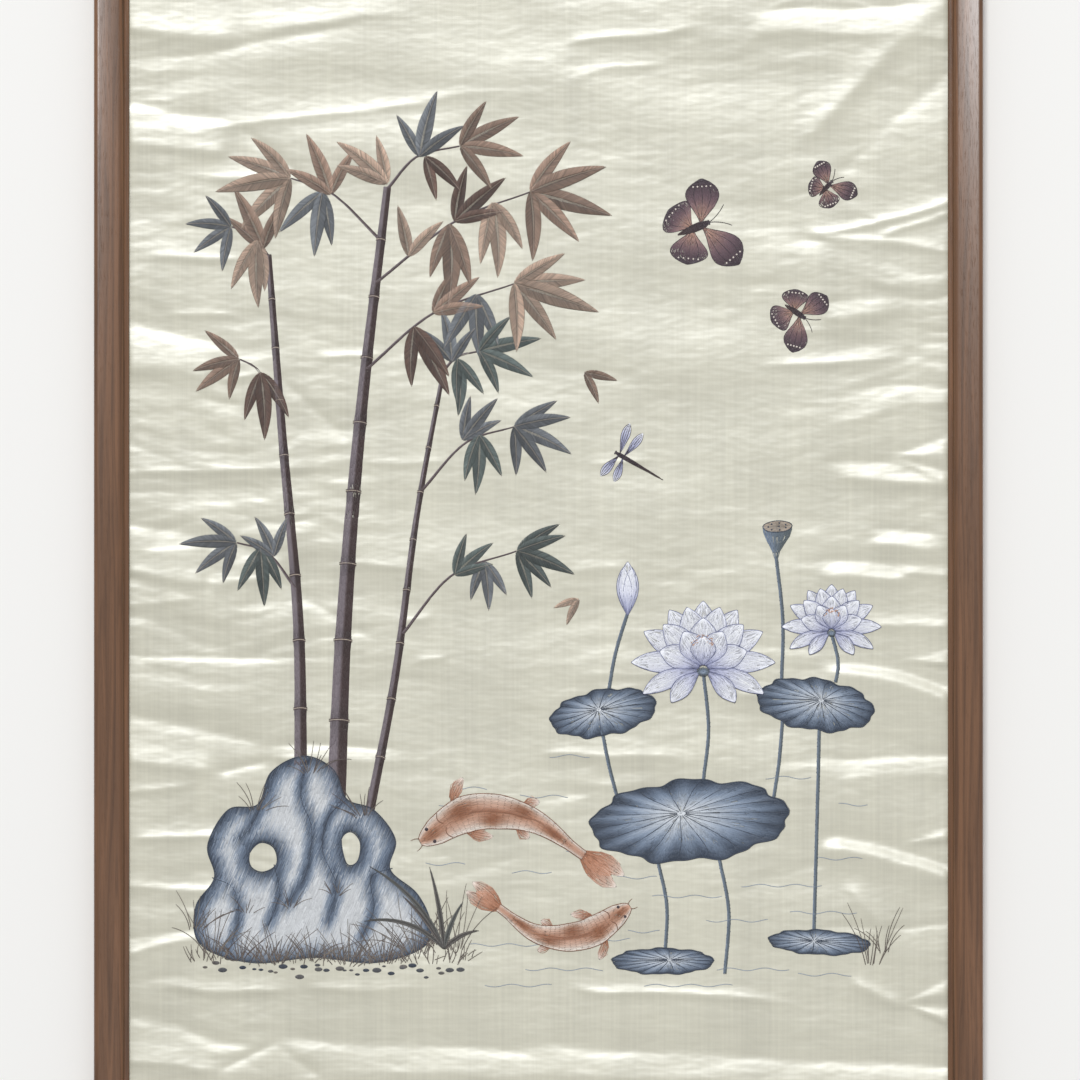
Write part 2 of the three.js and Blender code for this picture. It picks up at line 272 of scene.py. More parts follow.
class FlossSettings(bpy.types.PropertyGroup):
    thread: measure("Thread", "Width of a stitch", 0.62 * MM)
    pitch: measure("Pitch", "From one stitch to the next", 0.5 * MM)
    layer: measure("Layer", "Rise of a layer over another", 0.11 * MM)
    roughness: number("Roughness", "Roughness of the floss", 0.4, min=0, max=1)
    leaf: floss_colour("Brown Leaves", 152, 127, 111)
    leaf_light: floss_colour("Light Leaves", 178, 154, 136)
    leaf_dark: floss_colour("Dark Leaves", 106, 84, 74)
    leaf_slate: floss_colour("Slate Leaves", 112, 115, 119)
    leaf_green: floss_colour("Green Leaves", 92, 101, 98)
    rib: floss_colour("Leaf Ribs", 197, 180, 162)
    bark: floss_colour("Lit Bark", 144, 132, 137)
    bark_dark: floss_colour("Dark Bark", 76, 58, 56)
    stone_dark: floss_colour("Stone Shadows", 60, 70, 86)
    stone: floss_colour("Stone", 138, 153, 174)
    stone_light: floss_colour("Stone Lights", 234, 235, 236)
    petal: floss_colour("Petals", 246, 246, 252)
    petal_shade: floss_colour("Petal Shadows", 198, 200, 226)
    petal_line: floss_colour("Petal Lines", 118, 122, 156)
    lotus: floss_colour("Lotus Stems", 98, 106, 108)
    fish: floss_colour("Fish", 209, 152, 122)
    fish_dark: floss_colour("Fish Backs", 160, 104, 72)
    fish_pale: floss_colour("Fish Bellies", 240, 228, 216)
    wing: floss_colour("Wings", 124, 98, 106)
    wing_dark: floss_colour("Wing Rims", 62, 49, 57)
    wing_glow: floss_colour("Wing Hearts", 209, 165, 138)
    grass: floss_colour("Grass", 94, 80, 74)
    grass_light: floss_colour("Dry Grass", 136, 126, 115)
    water: floss_colour("Water Lines", 158, 168, 182)


class StageSettings(bpy.types.PropertyGroup):
    camera_height: measure("Camera Height", "Height above the cloth", 6)
    seen_height: measure("Seen Height", "Height of cloth that fills the picture", 0.8)
    camera_shift: measure("Camera Offset", "Camera to the right of the centre", 1.1 * MM)
    key_watts: number("Key Light", "Strength of the key light", 800, unit="POWER")
    fill_watts: number("Fill Light", "Strength of the fill", 6, unit="POWER")
    surround: number("Surround", "Strength of the light all round", 0.36, min=0)
    floor: colour_of("Floor", "Colour of the floor", 250, 247, 242)


def only(obj):
    """Selects one object and makes it active."""
    bpy.ops.object.select_all(action="DESELECT")
    obj.select_set(True)
    bpy.context.view_layer.objects.active = obj


def hand_over(obj, slot, *nodes):
    """Gives a finished piece its body and hides the nodes that it stands for; the slot is not used."""
    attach(obj, "root")
    if nodes:
        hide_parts(*nodes)


def drawn_noise(x, y, cell_x, cell_y, random):
    """Smooth noise between -1 and 1 from a random lattice whose cells are cell_x wide and cell_y high."""
    u = (x - x.min()) / cell_x
    v = (y - y.min()) / cell_y
    lattice = random.uniform(-1, 1, (int(v.max()) + 2, int(u.max()) + 2))
    i, j = u.astype(int), v.astype(int)
    u, v = smooth_step(u - i), smooth_step(v - j)
    low = lattice[j, i] * (1 - u) + lattice[j, i + 1] * u
    high = lattice[j + 1, i] * (1 - u) + lattice[j + 1, i + 1] * u
    return low * (1 - v) + high * v


class Cloth:
    """The silk's relief on its grid of columns and rows, in millimetres."""

    def __init__(self, fold_scale, ripple_rise):
        self.columns = np.linspace(-SIGHT_WIDTH / 2 - SILK_LAP, SIGHT_WIDTH / 2 + SILK_LAP, SILK_COLUMNS + 1)
        self.rows = np.linspace(-SIGHT_HEIGHT / 2 - SILK_LAP, SIGHT_HEIGHT / 2 + SILK_LAP, SILK_ROWS + 1)
        x, y = np.meshgrid(self.columns, self.rows)
        height = np.zeros_like(x)
        uneven = y + 2.4 * drawn_noise(x, y, 36, 48, np.random.default_rng(3))
        for _, *crest, rise, above, below, bow, start, end in FOLDS:
            height += self.fold(x, uneven, crest, rise * fold_scale, above, below, bow, start, end)
        for _, *crest, rise, above, below in FANS:
            height += self.fan(x, y, crest, rise * fold_scale, above, below)
        height += ripple_rise * self.ripples(x, y)
        height += self.swells(x, y)
        limit = np.where(height > 0, HIGHEST_FOLD, DEEPEST_FOLD)
        self.relief = limit * np.tanh(height / limit) * self.freedom(x, y)

    @staticmethod
    def axes(x, y, crest):
        """Share of a straight crest's length and distance across it, at points."""
        x0, y0, x1, y1 = crest
        length = math.hypot(x1 - x0, y1 - y0)
        way_x, way_y = (x1 - x0) / length, (y1 - y0) / length
        along = ((x - x0) * way_x + (y - y0) * way_y) / length
        return along, (y - y0) * way_x - (x - x0) * way_y

    @classmethod
    def fold(cls, x, y, crest, rise, above, below, bow, start, end):
        """A soft crease that fades at its ends."""
        along, across = cls.axes(x, y, crest)
        across = across - 4 * bow * along * (1 - along)
        half_width = np.where(across > 0, above, below)
        fade_in = smooth_step(along / start) if start else 1
        fade_out = smooth_step((1 - along) / end) if end else 1
        slope = np.sqrt((across / half_width) ** 2 + CREST_ROUND**2) - CREST_ROUND
        return rise * fade_in * fade_out * np.exp(-FOLD_FALL * slope)

    @classmethod
    def fan(cls, x, y, crest, rise, above, below):
        """A crest that rises from a point, with flat sides that widen as it does."""
        along, across = cls.axes(x, y, crest)
        along = np.maximum(along, 0)
        half_width = np.where(across > 0, above, below) * (along + FAN_START)
        return rise * along * np.clip(1 - np.abs(across) / half_width, 0, 1)

    @staticmethod
    def ripples(x, y):
        """Level crinkles all over, stronger near the side edges and where the stitches pucker the cloth."""
        random = np.random.default_rng(11)
        bent = y + 9 * drawn_noise(x, y, 75, 60, random) + 3 * drawn_noise(x, y, 30, 34, random)
        height = np.zeros_like(x)
        for cell_x, cell_y, share in RIPPLE_SIZES:
            noise = drawn_noise(x, bent, cell_x, cell_y, random)
            height += share * (noise + 0.6 - 1.2 * np.sqrt(noise**2 + 0.01))
        patchy = 0.75 + 0.5 * drawn_noise(x, y, 120, 90, random)
        strength = 0.6 + 0.6 * smooth_step((np.abs(x) - 110) / 190)
        for centre_x, centre_y, reach_x, reach_y, rise in PUCKERS:
            strength += rise * np.exp(-(((x - centre_x) / reach_x) ** 2) - ((y - centre_y) / reach_y) ** 2)
        return height * patchy * strength

    @staticmethod
    def swells(x, y):
        """Broad slack in the cloth between its fastenings."""
        random = np.random.default_rng(5)
        height = np.zeros_like(x)
        for _ in range(14):
            wave_x = random.uniform(-1, 1) / 190
            wave_y = random.choice([-1, 1]) / random.uniform(55, 150)
            phase = random.uniform(0, 2 * math.pi)
            height += 0.11 * np.sin(2 * math.pi * (x * wave_x + y * wave_y) + phase)
        return height

    @staticmethod
    def freedom(x, y):
        """1 inside the sight edge, 0 where the bead holds the cloth."""
        beyond = np.maximum(np.abs(x) - SIGHT_WIDTH / 2, np.abs(y) - SIGHT_HEIGHT / 2)
        return smooth_step((HELD_LAP - beyond) / (HELD_LAP - FREE_FROM))

    def at(self, x, y):
        """Height of the cloth at points, by the grid cells that hold them."""
        u = np.clip((x - self.columns[0]) / (self.columns[1] - self.columns[0]), 0, SILK_COLUMNS - 0.001)
        v = np.clip((y - self.rows[0]) / (self.rows[1] - self.rows[0]), 0, SILK_ROWS - 0.001)
        i, j = u.astype(int), v.astype(int)
        u, v = u - i, v - j
        low = self.relief[j, i] * (1 - u) + self.relief[j, i + 1] * u
        high = self.relief[j + 1, i] * (1 - u) + self.relief[j + 1, i + 1] * u
        return SILK_MIDDLE + low * (1 - v) + high * v


@functools.cache
def cloth_with(fold_scale, ripple_rise):
    return Cloth(fold_scale, ripple_rise)


def laid_cloth(context):
    settings = context.scene.embroidery_cloth
    return cloth_with(settings.fold_scale, settings.ripple_rise / MM)


class NodeTree:
    """A shader tree with short ways to add its nodes. An input takes a plain value or a node's output."""

    def __init__(self, tree):
        self.nodes = tree.nodes
        self.links = tree.links

    def feed(self, node, inputs):
        for key, value in inputs.items():
            if isinstance(value, bpy.types.NodeSocket):
                self.links.new(value, node.inputs[key])
            else:
                node.inputs[key].default_value = value

    def add(self, kind, inputs=None, output=0, **settings):
        """Adds a node of a kind and returns one of its outputs."""
        node = self.nodes.new("ShaderNode" + kind)
        for key, value in settings.items():
            setattr(node, key, value)
        self.feed(node, inputs or {})
        return node.outputs[output]

    def product(self, first, second):
        return self.add("Math", {0: first, 1: second}, operation="MULTIPLY")

    def toned(self, colour, tone):
        """A colour made lighter and darker by a tone."""
        return self.add("VectorMath", {0: colour, "Scale": tone}, operation="SCALE")

    def between(self, share, first, second):
        """A colour that goes from first to second as the share does from 0 to 1."""
        return self.add("Mix", {0: share, 6: first, 7: second}, output=2, data_type="RGBA")

    def bump(self, height, distance, strength, normal=None, **settings):
        inputs = {"Height": height, "Distance": distance, "Strength": strength}
        if normal:
            inputs["Normal"] = normal
        return self.add("Bump", inputs, **settings)

    def grain(self, vector, stretch, levels, tones, detail, roughness, distortion=0):
        """Noise drawn out along an axis of the vector. Between two levels it goes from tone to tone."""
        noise = self.add("TexNoise", {
            "Vector": self.add("VectorMath", {0: vector, 1: stretch}, operation="MULTIPLY"),
            "Scale": 1, "Detail": detail, "Roughness": roughness, "Distortion": distortion,
        })
        ends = ("From Min", "From Max", "To Min", "To Max")
        return self.add("MapRange", {"Value": noise, **dict(zip(ends, (*levels, *tones)))})

    def threads(self, vector, stretch, low, high, detail=3):
        """Fine parallel threads, slubbed in places."""
        return self.grain(vector, stretch, (0.3, 0.7), (low, high), detail, 0.6)


def new_material(name):
    """A material with its node tree and its shader."""
    material = bpy.data.materials.new(name)
    material.use_nodes = True
    tree = NodeTree(material.node_tree)
    return material, tree, tree.nodes["Principled BSDF"]


# Threads of the satin, the first two its weave and the last broad patches of painted sheen: how far they are
# drawn out, and the range of their tones
SATIN_THREADS_AND_SHEEN = [
    ((2200, 30, 1), 0.985, 1.015),
    ((26, 2600, 1), 0.975, 1.02),
    ((400, 8, 1), 0.945, 1.05),
    ((9, 340, 1), 0.97, 1.03),
    ((30, 1.2, 1), 0.945, 1.045),
    # Broad lighter and darker patches in the colour: painted sheen
    ((9, 17, 1), 0.96, 1.035),
]


def silk_material(settings):
    """Satin: long glossy floats across, fine warp lines down, a slubbed weft, and broad patches of painted
    sheen in its colour.
    """
    material, tree, shader = new_material("Ivory Silk Satin")
    uv = tree.add("UVMap", uv_map="Cloth")
    floats, warp, *slubs_and_sheen = [tree.threads(uv, *row) for row in SATIN_THREADS_AND_SHEEN]
    weave = tree.product(floats, warp)
    crinkle = tree.bump(tree.threads(uv, (60, 150, 1), 0, 1, detail=1.2), settings.crinkle, 1)
    tree.feed(shader, {
        "Base Color": tree.toned(tuple(settings.colour), functools.reduce(tree.product, slubs_and_sheen, weave)),
        "Normal": tree.bump(weave, 0.0004, 0.35, crinkle),
        "Roughness": settings.roughness,
        "Metallic": settings.lustre,
        "IOR": settings.ior,
        "Specular IOR Level": 1,
        "Sheen Weight": 0.12,
        "Sheen Roughness": 0.4,
    })
    return material


class EMBROIDERY_OT_silk(bpy.types.Operator):
    """Lays the satin sheet with its folds in place of the plain solid"""

    bl_idname = "embroidery.silk"
    bl_label = "Silk Sheet"

    def execute(self, context):
        cloth = laid_cloth(context)
        bpy.ops.object.select_all(action="DESELECT")
        bpy.ops.mesh.primitive_grid_add(x_subdivisions=SILK_COLUMNS, y_subdivisions=SILK_ROWS, size=1)
        sheet = context.object
        sheet.name = "silk_sheet"
        mesh = sheet.data
        place = np.empty(len(mesh.vertices) * 3, np.float32)
        mesh.vertices.foreach_get("co", place)
        place = place.reshape(-1, 3)
        column = np.rint((place[:, 0] + 0.5) * SILK_COLUMNS).astype(int)
        row = np.rint((place[:, 1] + 0.5) * SILK_ROWS).astype(int)
        place[:, 0] = cloth.columns[column]
        place[:, 1] = cloth.rows[row]
        place[:, 2] = SILK_MIDDLE + cloth.relief[row, column]
        mesh.vertices.foreach_set("co", (place * MM).ravel())
        corner = np.empty(len(mesh.loops), np.int32)
        mesh.loops.foreach_get("vertex_index", corner)
        while mesh.uv_layers:
            mesh.uv_layers.remove(mesh.uv_layers[0])
        layer = mesh.uv_layers.new(name="Cloth")
        layer.uv.foreach_set("vector", (place[corner, :2] * MM).ravel())
        only(sheet)
        bpy.ops.object.shade_smooth()
        mesh.materials.append(silk_material(context.scene.embroidery_cloth))
        hand_over(sheet, "silk", "silk")
        return {"FINISHED"}


def arc(centre_y, centre_z, radius, first, last, steps):
    """Points on an arc of a section, between two angles in degrees."""
    angles = np.radians(np.linspace(first, last, steps + 1))
    return [(centre_y + radius * math.cos(a), centre_z + radius * math.sin(a)) for a in angles]


def rail_section():
    """The moulding's section as points (y, z), y outwards from the sight edge."""
    cove_end = LIP_STEP + COVE_WIDTH
    share = np.linspace(0, 1, 9)
    cove_y = cove_end * (1 - share) ** 2 + LIP_STEP * (1 - (1 - share) ** 2)
    cove_z = RAIL_DEPTH * (1 - share**2) + LIP_TOP * share**2
    return [
        (RABBET_WIDTH, 0),
        (RAIL_WIDTH, 0),
        *arc(RAIL_WIDTH - OUTER_ROUND, RAIL_DEPTH - OUTER_ROUND, OUTER_ROUND, 0, 90, 6),
        *zip(cove_y, cove_z),
        *arc(LIP_ROUND, LIP_TOP - LIP_ROUND, LIP_ROUND, 90, 180, 4),
        (0, LIP_UNDERSIDE),
        (RABBET_WIDTH, LIP_UNDERSIDE),
    ]


def strainer_section():
    """The strainer bar's section in the same axes, with the bead that the cloth is drawn over."""
    outer = RABBET_WIDTH - SEAT_GAP
    inner = outer - STRAINER_WIDTH
    bead_inner = outer - BEAD_WIDTH
    return [
        (inner, STRAINER_BACK),
        (outer, STRAINER_BACK),
        (outer, BEAD_TOP),
        (bead_inner, BEAD_TOP),
        (bead_inner - BEAD_SLOPE, STRAINER_FACE),
        (inner, STRAINER_FACE),
    ]


def select_edges(mesh, wanted):
    """Selects in edit mode the edges whose two ends both pass a test, and nothing else."""
    for edge in mesh.edges:
        edge.select = all(wanted(vertex.co) for vertex in edge.verts)
    mesh.select_flush_mode()


def mitred_bar(name, section, half_along, half_across, turn, edge_round):
    """A bar whose section is drawn out edge by edge, cut to mitres at its ends and turned to its side."""
    bpy.ops.object.select_all(action="DESELECT")
    bpy.ops.mesh.primitive_plane_add(size=2)
    bar = bpy.context.object
    bar.name = name
    for vertex in bar.data.vertices:
        vertex.co.yz = section[1] if vertex.co.y > 0 else section[0]
    bpy.ops.object.mode_set(mode="EDIT")
    bpy.ops.mesh.select_mode(type="EDGE")
    mesh = bmesh.from_edit_mesh(bar.data)
    select_edges(mesh, lambda place: (place.yz - Vector(section[1])).length < 0.001)
    for (y0, z0), (y1, z1) in zip(section[1:], [*section[2:], section[0]]):
        bpy.ops.mesh.extrude_region_move(TRANSFORM_OT_translate={"value": (0, y1 - y0, z1 - z0)})
    bpy.ops.mesh.select_all(action="SELECT")
    bpy.ops.mesh.remove_doubles(threshold=0.001)
    for side in (-1, 1):
        mesh = bmesh.from_edit_mesh(bar.data)
        select_edges(mesh, lambda place: place.x * side > 0)
        bpy.ops.mesh.edge_face_add()
    bpy.ops.mesh.select_all(action="SELECT")
    bpy.ops.mesh.normals_make_consistent(inside=False)
    bpy.ops.object.mode_set(mode="OBJECT")
    for vertex in bar.data.vertices:
        along, outwards, up = vertex.co
        end = half_along + outwards - MITRE_SETBACK
        vertex.co = Vector((math.copysign(end, along), half_across + outwards, up)) * MM
    soften = bar.modifiers.new("Soft Edges", "BEVEL")
    soften.width = edge_round
    soften.segments = 2
    soften.limit_method = "ANGLE"
    soften.angle_limit = math.radians(30)
    only(bar)
    bpy.ops.object.modifier_apply(modifier=soften.name)
    bpy.ops.object.shade_smooth_by_angle(angle=math.radians(30))
    grain_map(bar.data)
    bar.rotation_euler.z = math.radians(turn)
    bpy.ops.object.transform_apply(location=True, rotation=True, scale=True)
    return bar


def grain_map(mesh):
    """A map with the length of the bar along u and its section along v, in metres."""
    while mesh.uv_layers:
        mesh.uv_layers.remove(mesh.uv_layers[0])
    layer = mesh.uv_layers.new(name="Grain")
    for loop in mesh.loops:
        place = mesh.vertices[loop.vertex_index].co
        layer.uv[loop.index].vector = (place.x, place.y + place.z)


def wood_material(name, colour, contrast, smooth, coat):
    """Wood with darker figure and pores, rougher in its pores, and lacquered by its coat."""
    material, tree, shader = new_material(name)
    uv = tree.add("UVMap", uv_map="Grain")
    figure = tree.grain(uv, (5, 170, 1), (0.34, 0.66), (0, 1), 4, 0.55, distortion=1.6)
    pores = tree.grain(uv, (90, 2600, 1), (0.58, 0.7), (0, 1), 4, 0.55)
    light = Vector(colour) * (1 + contrast)
    dark = Vector(colour) * (1 - contrast)
    body = tree.between(figure, (*dark, 1), (*light, 1))
    pore_share = tree.add("MapRange", {"Value": pores, "To Max": contrast})
    tree.feed(shader, {
        "Base Color": tree.between(pore_share, body, (*dark * 0.5, 1)),
        "Roughness": tree.add("MapRange", {"Value": pores, "To Min": smooth, "To Max": smooth + 0.2}),
        "Normal": tree.bump(pores, 0.0002, 0.4, invert=True),
        "Coat Weight": coat,
        "Coat Roughness": 0.22,
    })
    return material


def four_bars(kind, node, section, material, slot, edge_round):
    """Four bars round the sight opening, each in place of the plain one of its side."""
    half_width, half_height = SIGHT_WIDTH / 2, SIGHT_HEIGHT / 2
    for side, turn, half_along, half_across in (
        ("top", 0, half_width, half_height),
        ("left", 90, half_height, half_width),
        ("bottom", 180, half_width, half_height),
        ("right", -90, half_height, half_width),
    ):
        bar = mitred_bar(f"{kind}_{side}", section, half_along, half_across, turn, edge_round)
        bar.data.materials.append(material)
        hand_over(bar, slot, f"{node}_{side}")


class EMBROIDERY_OT_frame(bpy.types.Operator):
    """Builds the four moulded rails, rounded outside and coved towards the sight edge"""

    bl_idname = "embroidery.frame"
    bl_label = "Frame Rails"

    def execute(self, context):
        settings = context.scene.embroidery_frame
        material = wood_material("Brown Lacquered Wood", settings.wood, 0.32, 0.36, 0.3)
        four_bars("moulding", "frame", rail_section(), material, "frame_wood", settings.edge_round)
        return {"FINISHED"}


class EMBROIDERY_OT_strainer(bpy.types.Operator):
    """Builds the four bare softwood bars that hold the cloth"""

    bl_idname = "embroidery.strainer"
    bl_label = "Strainer Bars"

    def execute(self, context):
        settings = context.scene.embroidery_frame
        material = wood_material("Bare Softwood", settings.softwood, 0.16, 0.62, 0)
        four_bars("stretcher", "strainer", strainer_section(), material, "strainer_wood", settings.edge_round)
        return {"FINISHED"}


def way_at(heading):
    """Unit vector of a heading in degrees."""
    turn = math.radians(heading)
    return np.array([math.cos(turn), math.sin(turn)])


def mixed(share, *colours):
    """Colours along a scale of 0 to 1 that passes evenly through the ones given."""
    stops = np.linspace(0, 1, len(colours))
    return np.stack([np.interp(share, stops, channel) for channel in np.transpose(colours)], -1)


class Path:
    """A smooth curve through points on the cloth, by share of its length."""

    def __init__(self, points):
        places = np.asarray(points, float)
        if len(places) < 12:
            places = self.rounded(places)
        steps = np.linalg.norm(np.diff(places, axis=0), axis=1)
        self.places = places
        self.marks = np.concatenate([[0], np.cumsum(steps)])
        self.length = self.marks[-1]

    @staticmethod
    def rounded(places, steps=14):
        ends = 2 * places[0] - places[1], 2 * places[-1] - places[-2]
        places = np.vstack([ends[0], places, ends[1]])
        t = np.linspace(0, 1, steps, endpoint=False)[:, None]
        runs = [
            (2 * b + (c - a) * t + (2 * a - 5 * b + 4 * c - d) * t**2 + (3 * b - a - 3 * c + d) * t**3) / 2
            for a, b, c, d in zip(places, places[1:], places[2:], places[3:])
        ]
        return np.vstack([*runs, places[-2]])

    def at(self, share):
        mark = np.asarray(share) * self.length
        return np.stack([np.interp(mark, self.marks, self.places[:, k]) for k in (0, 1)], -1)

    def side(self, share):
        """Unit vector to the left of the way along."""
        ahead = self.at(np.clip(np.asarray(share) + 0.015, 0, 1))
        run = ahead - self.at(np.clip(np.asarray(share) - 0.015, 0, 1))
        run = run / np.linalg.norm(run, axis=-1, keepdims=True)
        return np.stack([-run[..., 1], run[..., 0]], -1)


def sprung(start, heading, length, bend):
    """A path that leaves start at a heading in degrees and turns by bend degrees on its way."""
    turn = np.radians(heading + bend * (np.arange(12) + 0.5) / 12)
    steps = np.stack([np.cos(turn), np.sin(turn)], 1) * length / 12
    return Path(np.vstack([start, start + np.cumsum(steps, axis=0)]))


def blade(path, half_width):
    """A patch along a path: s from its start to its end, t from -1 to 1 across it."""

    def patch(s, t):
        s = np.clip(s, 0, 1)
        return path.at(s) + path.side(s) * (half_width(s) * t)[..., None]

    return patch


def disc(centre, radii, turn=0, wave=0.05, lobes=7, heart=(0, 0)):
    """A patch over a round leaf: s from its heart to its waved rim, t from -1 to 1 round it."""
    turn = math.radians(turn)

    def patch(s, t):
        angle = np.asarray(t) * math.pi
        waved = wave * (0.25 + 0.75 * np.abs(np.sin(angle)))
        reach = 1 + waved * (np.sin(lobes * angle) + 0.5 * np.sin((2 * lobes + 1) * angle + 1))
        x = radii[0] * reach * np.cos(angle) * s + heart[0] * (1 - s)
        y = radii[1] * reach * np.sin(angle) * s + heart[1] * (1 - s)
        x, y = x * math.cos(turn) - y * math.sin(turn), x * math.sin(turn) + y * math.cos(turn)
        return np.stack([centre[0] + x, centre[1] + y], -1)

    return patch


def pointed(half_width, fullest=0.45):
    """Half width of a petal or leaf by share of its length, pointed at both ends."""
    power = math.log(0.5) / math.log(fullest)
    return lambda s: half_width * np.sin(math.pi * np.clip(s, 0, 1) ** power) ** 0.85


# Corners of a stitch: tip, left, crest and right of its first ring, the same of its second, and the other tip
STITCH_FACES = np.array([
    (0, 2, 1), (0, 3, 2), (0, 1, 3),
    (1, 2, 5), (1, 5, 4), (2, 3, 6), (2, 6, 5), (3, 1, 4), (3, 4, 6),
    (7, 4, 5), (7, 5, 6), (7, 6, 4),
])
RING_SHARES = (0.14, 0.86)
CREST = 0.34
STITCH_COLUMNS = np.cumsum([2, 2, 2, 1, 1, 3])

# How far stitches in a lane run past each other, in millimetres, and their width over the space between lanes
OVERLAP = 0.9
COVER = 1.24


class Needlework:
    """Stitches gathered by the ways of sewing them, then laid on the cloth together as one mesh."""

    def __init__(self, context, name, seed):
        settings = context.scene.embroidery_floss
        self.cloth = laid_cloth(context)
        self.name = name
        self.random = np.random.default_rng(seed)
        self.rows = []
        self.thread = settings.thread / MM
        self.pitch = settings.pitch / MM
        self.layer = settings.layer / MM
        self.roughness = settings.roughness

    def add(self, start, middle, end, layer, first, last, width=None):
        """Stitches from start to end by way of middle, going from the colour first to the colour last."""
        start = np.atleast_2d(start)
        if width is None:
            width = self.thread * self.random.uniform(0.88, 1.08, len(start))
        values = (start, middle, end, width, layer, first, last)
        sizes = (2, 2, 2, 1, 1, 3, 3)
        columns = [
            np.broadcast_to(np.reshape(value, (-1, size)), (len(start), size))
            for value, size in zip(values, sizes)
        ]
        self.rows.append(np.hstack(columns))

    def cuts(self, length, stitch, jitter):
        """Shares of a lane between which its stitches lie, each a little off its even place."""
        count = max(1, round(length / stitch * self.random.uniform(0.85, 1.15)))
        cuts = (np.arange(count + 1) + self.random.uniform(-jitter, jitter, count + 1)) / count
        cuts[0], cuts[-1] = 0, 1
        return cuts

    def fill(self, patch, across, along, colour, stitch=7.0, layer=0.0, pitch=None):
        """Long and short stitches in lanes along a patch, across and along being its size."""
        pitch = pitch or self.pitch
        lanes = max(3, round(across / pitch))
        for lane in range(lanes):
            t = (lane + 0.5) / lanes * 2 - 1
            cuts = self.cuts(along, stitch, 0.36)
            self.random.random()  # A spare draw: without it every later stitch would move
            first = np.maximum(cuts[:-1] - OVERLAP / along, 0)
            last = np.minimum(cuts[1:] + OVERLAP / along, 1)
            middle = (first + last) / 2
            gap = np.linalg.norm(patch(middle, t + 1 / lanes) - patch(middle, t - 1 / lanes), axis=1)
            step = 2 ** np.clip(np.ceil(np.log2(0.72 * pitch / (gap + 0.001))), 0, 9).astype(int)
            keep = lane % step == 0
            if not keep.any():
                continue
            first, middle, last = first[keep], middle[keep], last[keep]
            width = COVER * (gap * step)[keep] * self.random.uniform(0.94, 1.08, keep.sum())
            sway = t + self.random.uniform(-0.2, 0.2, (2, keep.sum())) * step[keep] / lanes
            self.add(
                patch(first, sway[0]), patch(middle, sway.mean(0)), patch(last, sway[1]),
                layer, colour(first, sway[0]), colour(last, sway[1]), width,
            )

    def fill_outline(self, loops, angle, colour, stitch=7.0, layer=0.0):
        """Long and short stitches in straight lanes at an angle, inside an outline with its holes."""
        along = way_at(angle)
        across = np.array([-along[1], along[0]])
        reach = loops[0] @ across
        for v in np.arange(reach.min() + self.pitch / 2, reach.max(), self.pitch):
            hits = []
            for loop in loops:
                u0, v0 = loop @ along, loop @ across - v
                u1, v1 = np.roll(u0, -1), np.roll(v0, -1)
                cut = (v0 > 0) != (v1 > 0)
                hits.extend(u0[cut] + (u1 - u0)[cut] * v0[cut] / (v0 - v1)[cut])
            hits.sort()
            for u0, u1 in zip(hits[::2], hits[1::2]):
                places = u0 + (u1 - u0) * self.cuts(u1 - u0, stitch, 0.38)
                start = np.maximum(places[:-1] - OVERLAP, u0)[:, None] * along + v * across
                end = np.minimum(places[1:] + OVERLAP, u1)[:, None] * along + v * across
                self.add(start, (start + end) / 2, end, layer, colour(start), colour(end))

    def leaf(self, path, half_width, upper, lower, rib, layer=0.0, lean=1.0, pitch=None):
        """Satin stitches slanting out from a midrib to both edges, and the midrib in stem stitch."""
        steps = round(path.length / (pitch or self.pitch))
        share = (np.arange(steps) + self.random.uniform(-0.25, 0.25, steps) + 0.4) / steps
        for side, colour in ((1, np.asarray(upper)), (-1, np.asarray(lower))):
            edge = np.clip(share + lean * half_width(share) / path.length, 0, 0.995)
            reach = side * half_width(edge)[:, None]
            start = path.at(share) + side * 0.15 * path.side(share)
            end = path.at(edge) + path.side(edge) * reach
            keep = np.linalg.norm(end - start, axis=1) > 0.7
            middle = (start + end) / 2 + 0.06 * reach * path.side(share)
            tone = self.random.normal(1, 0.07, (steps, 1))
            self.add(
                start[keep], middle[keep], end[keep], layer,
                (colour * 0.9 * tone)[keep], (colour * 1.07 * tone)[keep],
            )
        self.line(path, rib, layer=layer + 1, width=0.5)

    def line(self, path, colour, layer=0.0, width=None, stitch=3.4, taper=0.0):
        """Stem stitch: each stitch starts half way along the last, a little to its side."""
        count = max(2, round(path.length / stitch * 2))
        first = np.arange(count) / (count + 1)
        last = first + 2 / (count + 1)
        middle = (first + last) / 2
        aside = 0.1 * path.side(middle)
        size = (width or self.thread) * (1 - taper * (first + last) / 2)
        self.add(path.at(first) + aside, path.at(middle), path.at(last) - aside, layer, colour, colour, size)

    def vein(self, patch, s, t, *style, **more):
        """A line over a patch, where one of s and t may be a single number."""
        self.line(Path(patch(*np.broadcast_arrays(np.asarray(s, float), t))), *style, **more)

    def knots(self, centres, size, colour, layer=0.0):
        """Seed knots: two short stitches crossed."""
        centres = np.atleast_2d(centres)
        for way in ((0.5, 0.12), (-0.12, 0.5)):
            reach = np.array(way) * size
            self.add(centres - reach, centres, centres + reach, layer, colour, colour, 0.62 * size)

    def lay(self):
        """Makes the mesh of all stitches gathered so far, with their colours and two maps."""
        rows = np.vstack(self.rows)
        start, middle, end, width, layer, first, last = np.split(rows, STITCH_COLUMNS, axis=1)
        tone = self.random.normal(1, 0.03, (len(rows), 1))
        first, last = (to_linear(np.clip(colour * tone, 0, 1)) for colour in (first, last))
        lift = 0.06 + layer[:, 0] * self.layer
        places, colours, maps = [], [], []
        length = np.linalg.norm(end - start, axis=1)
        shift = self.random.random((len(rows), 2))

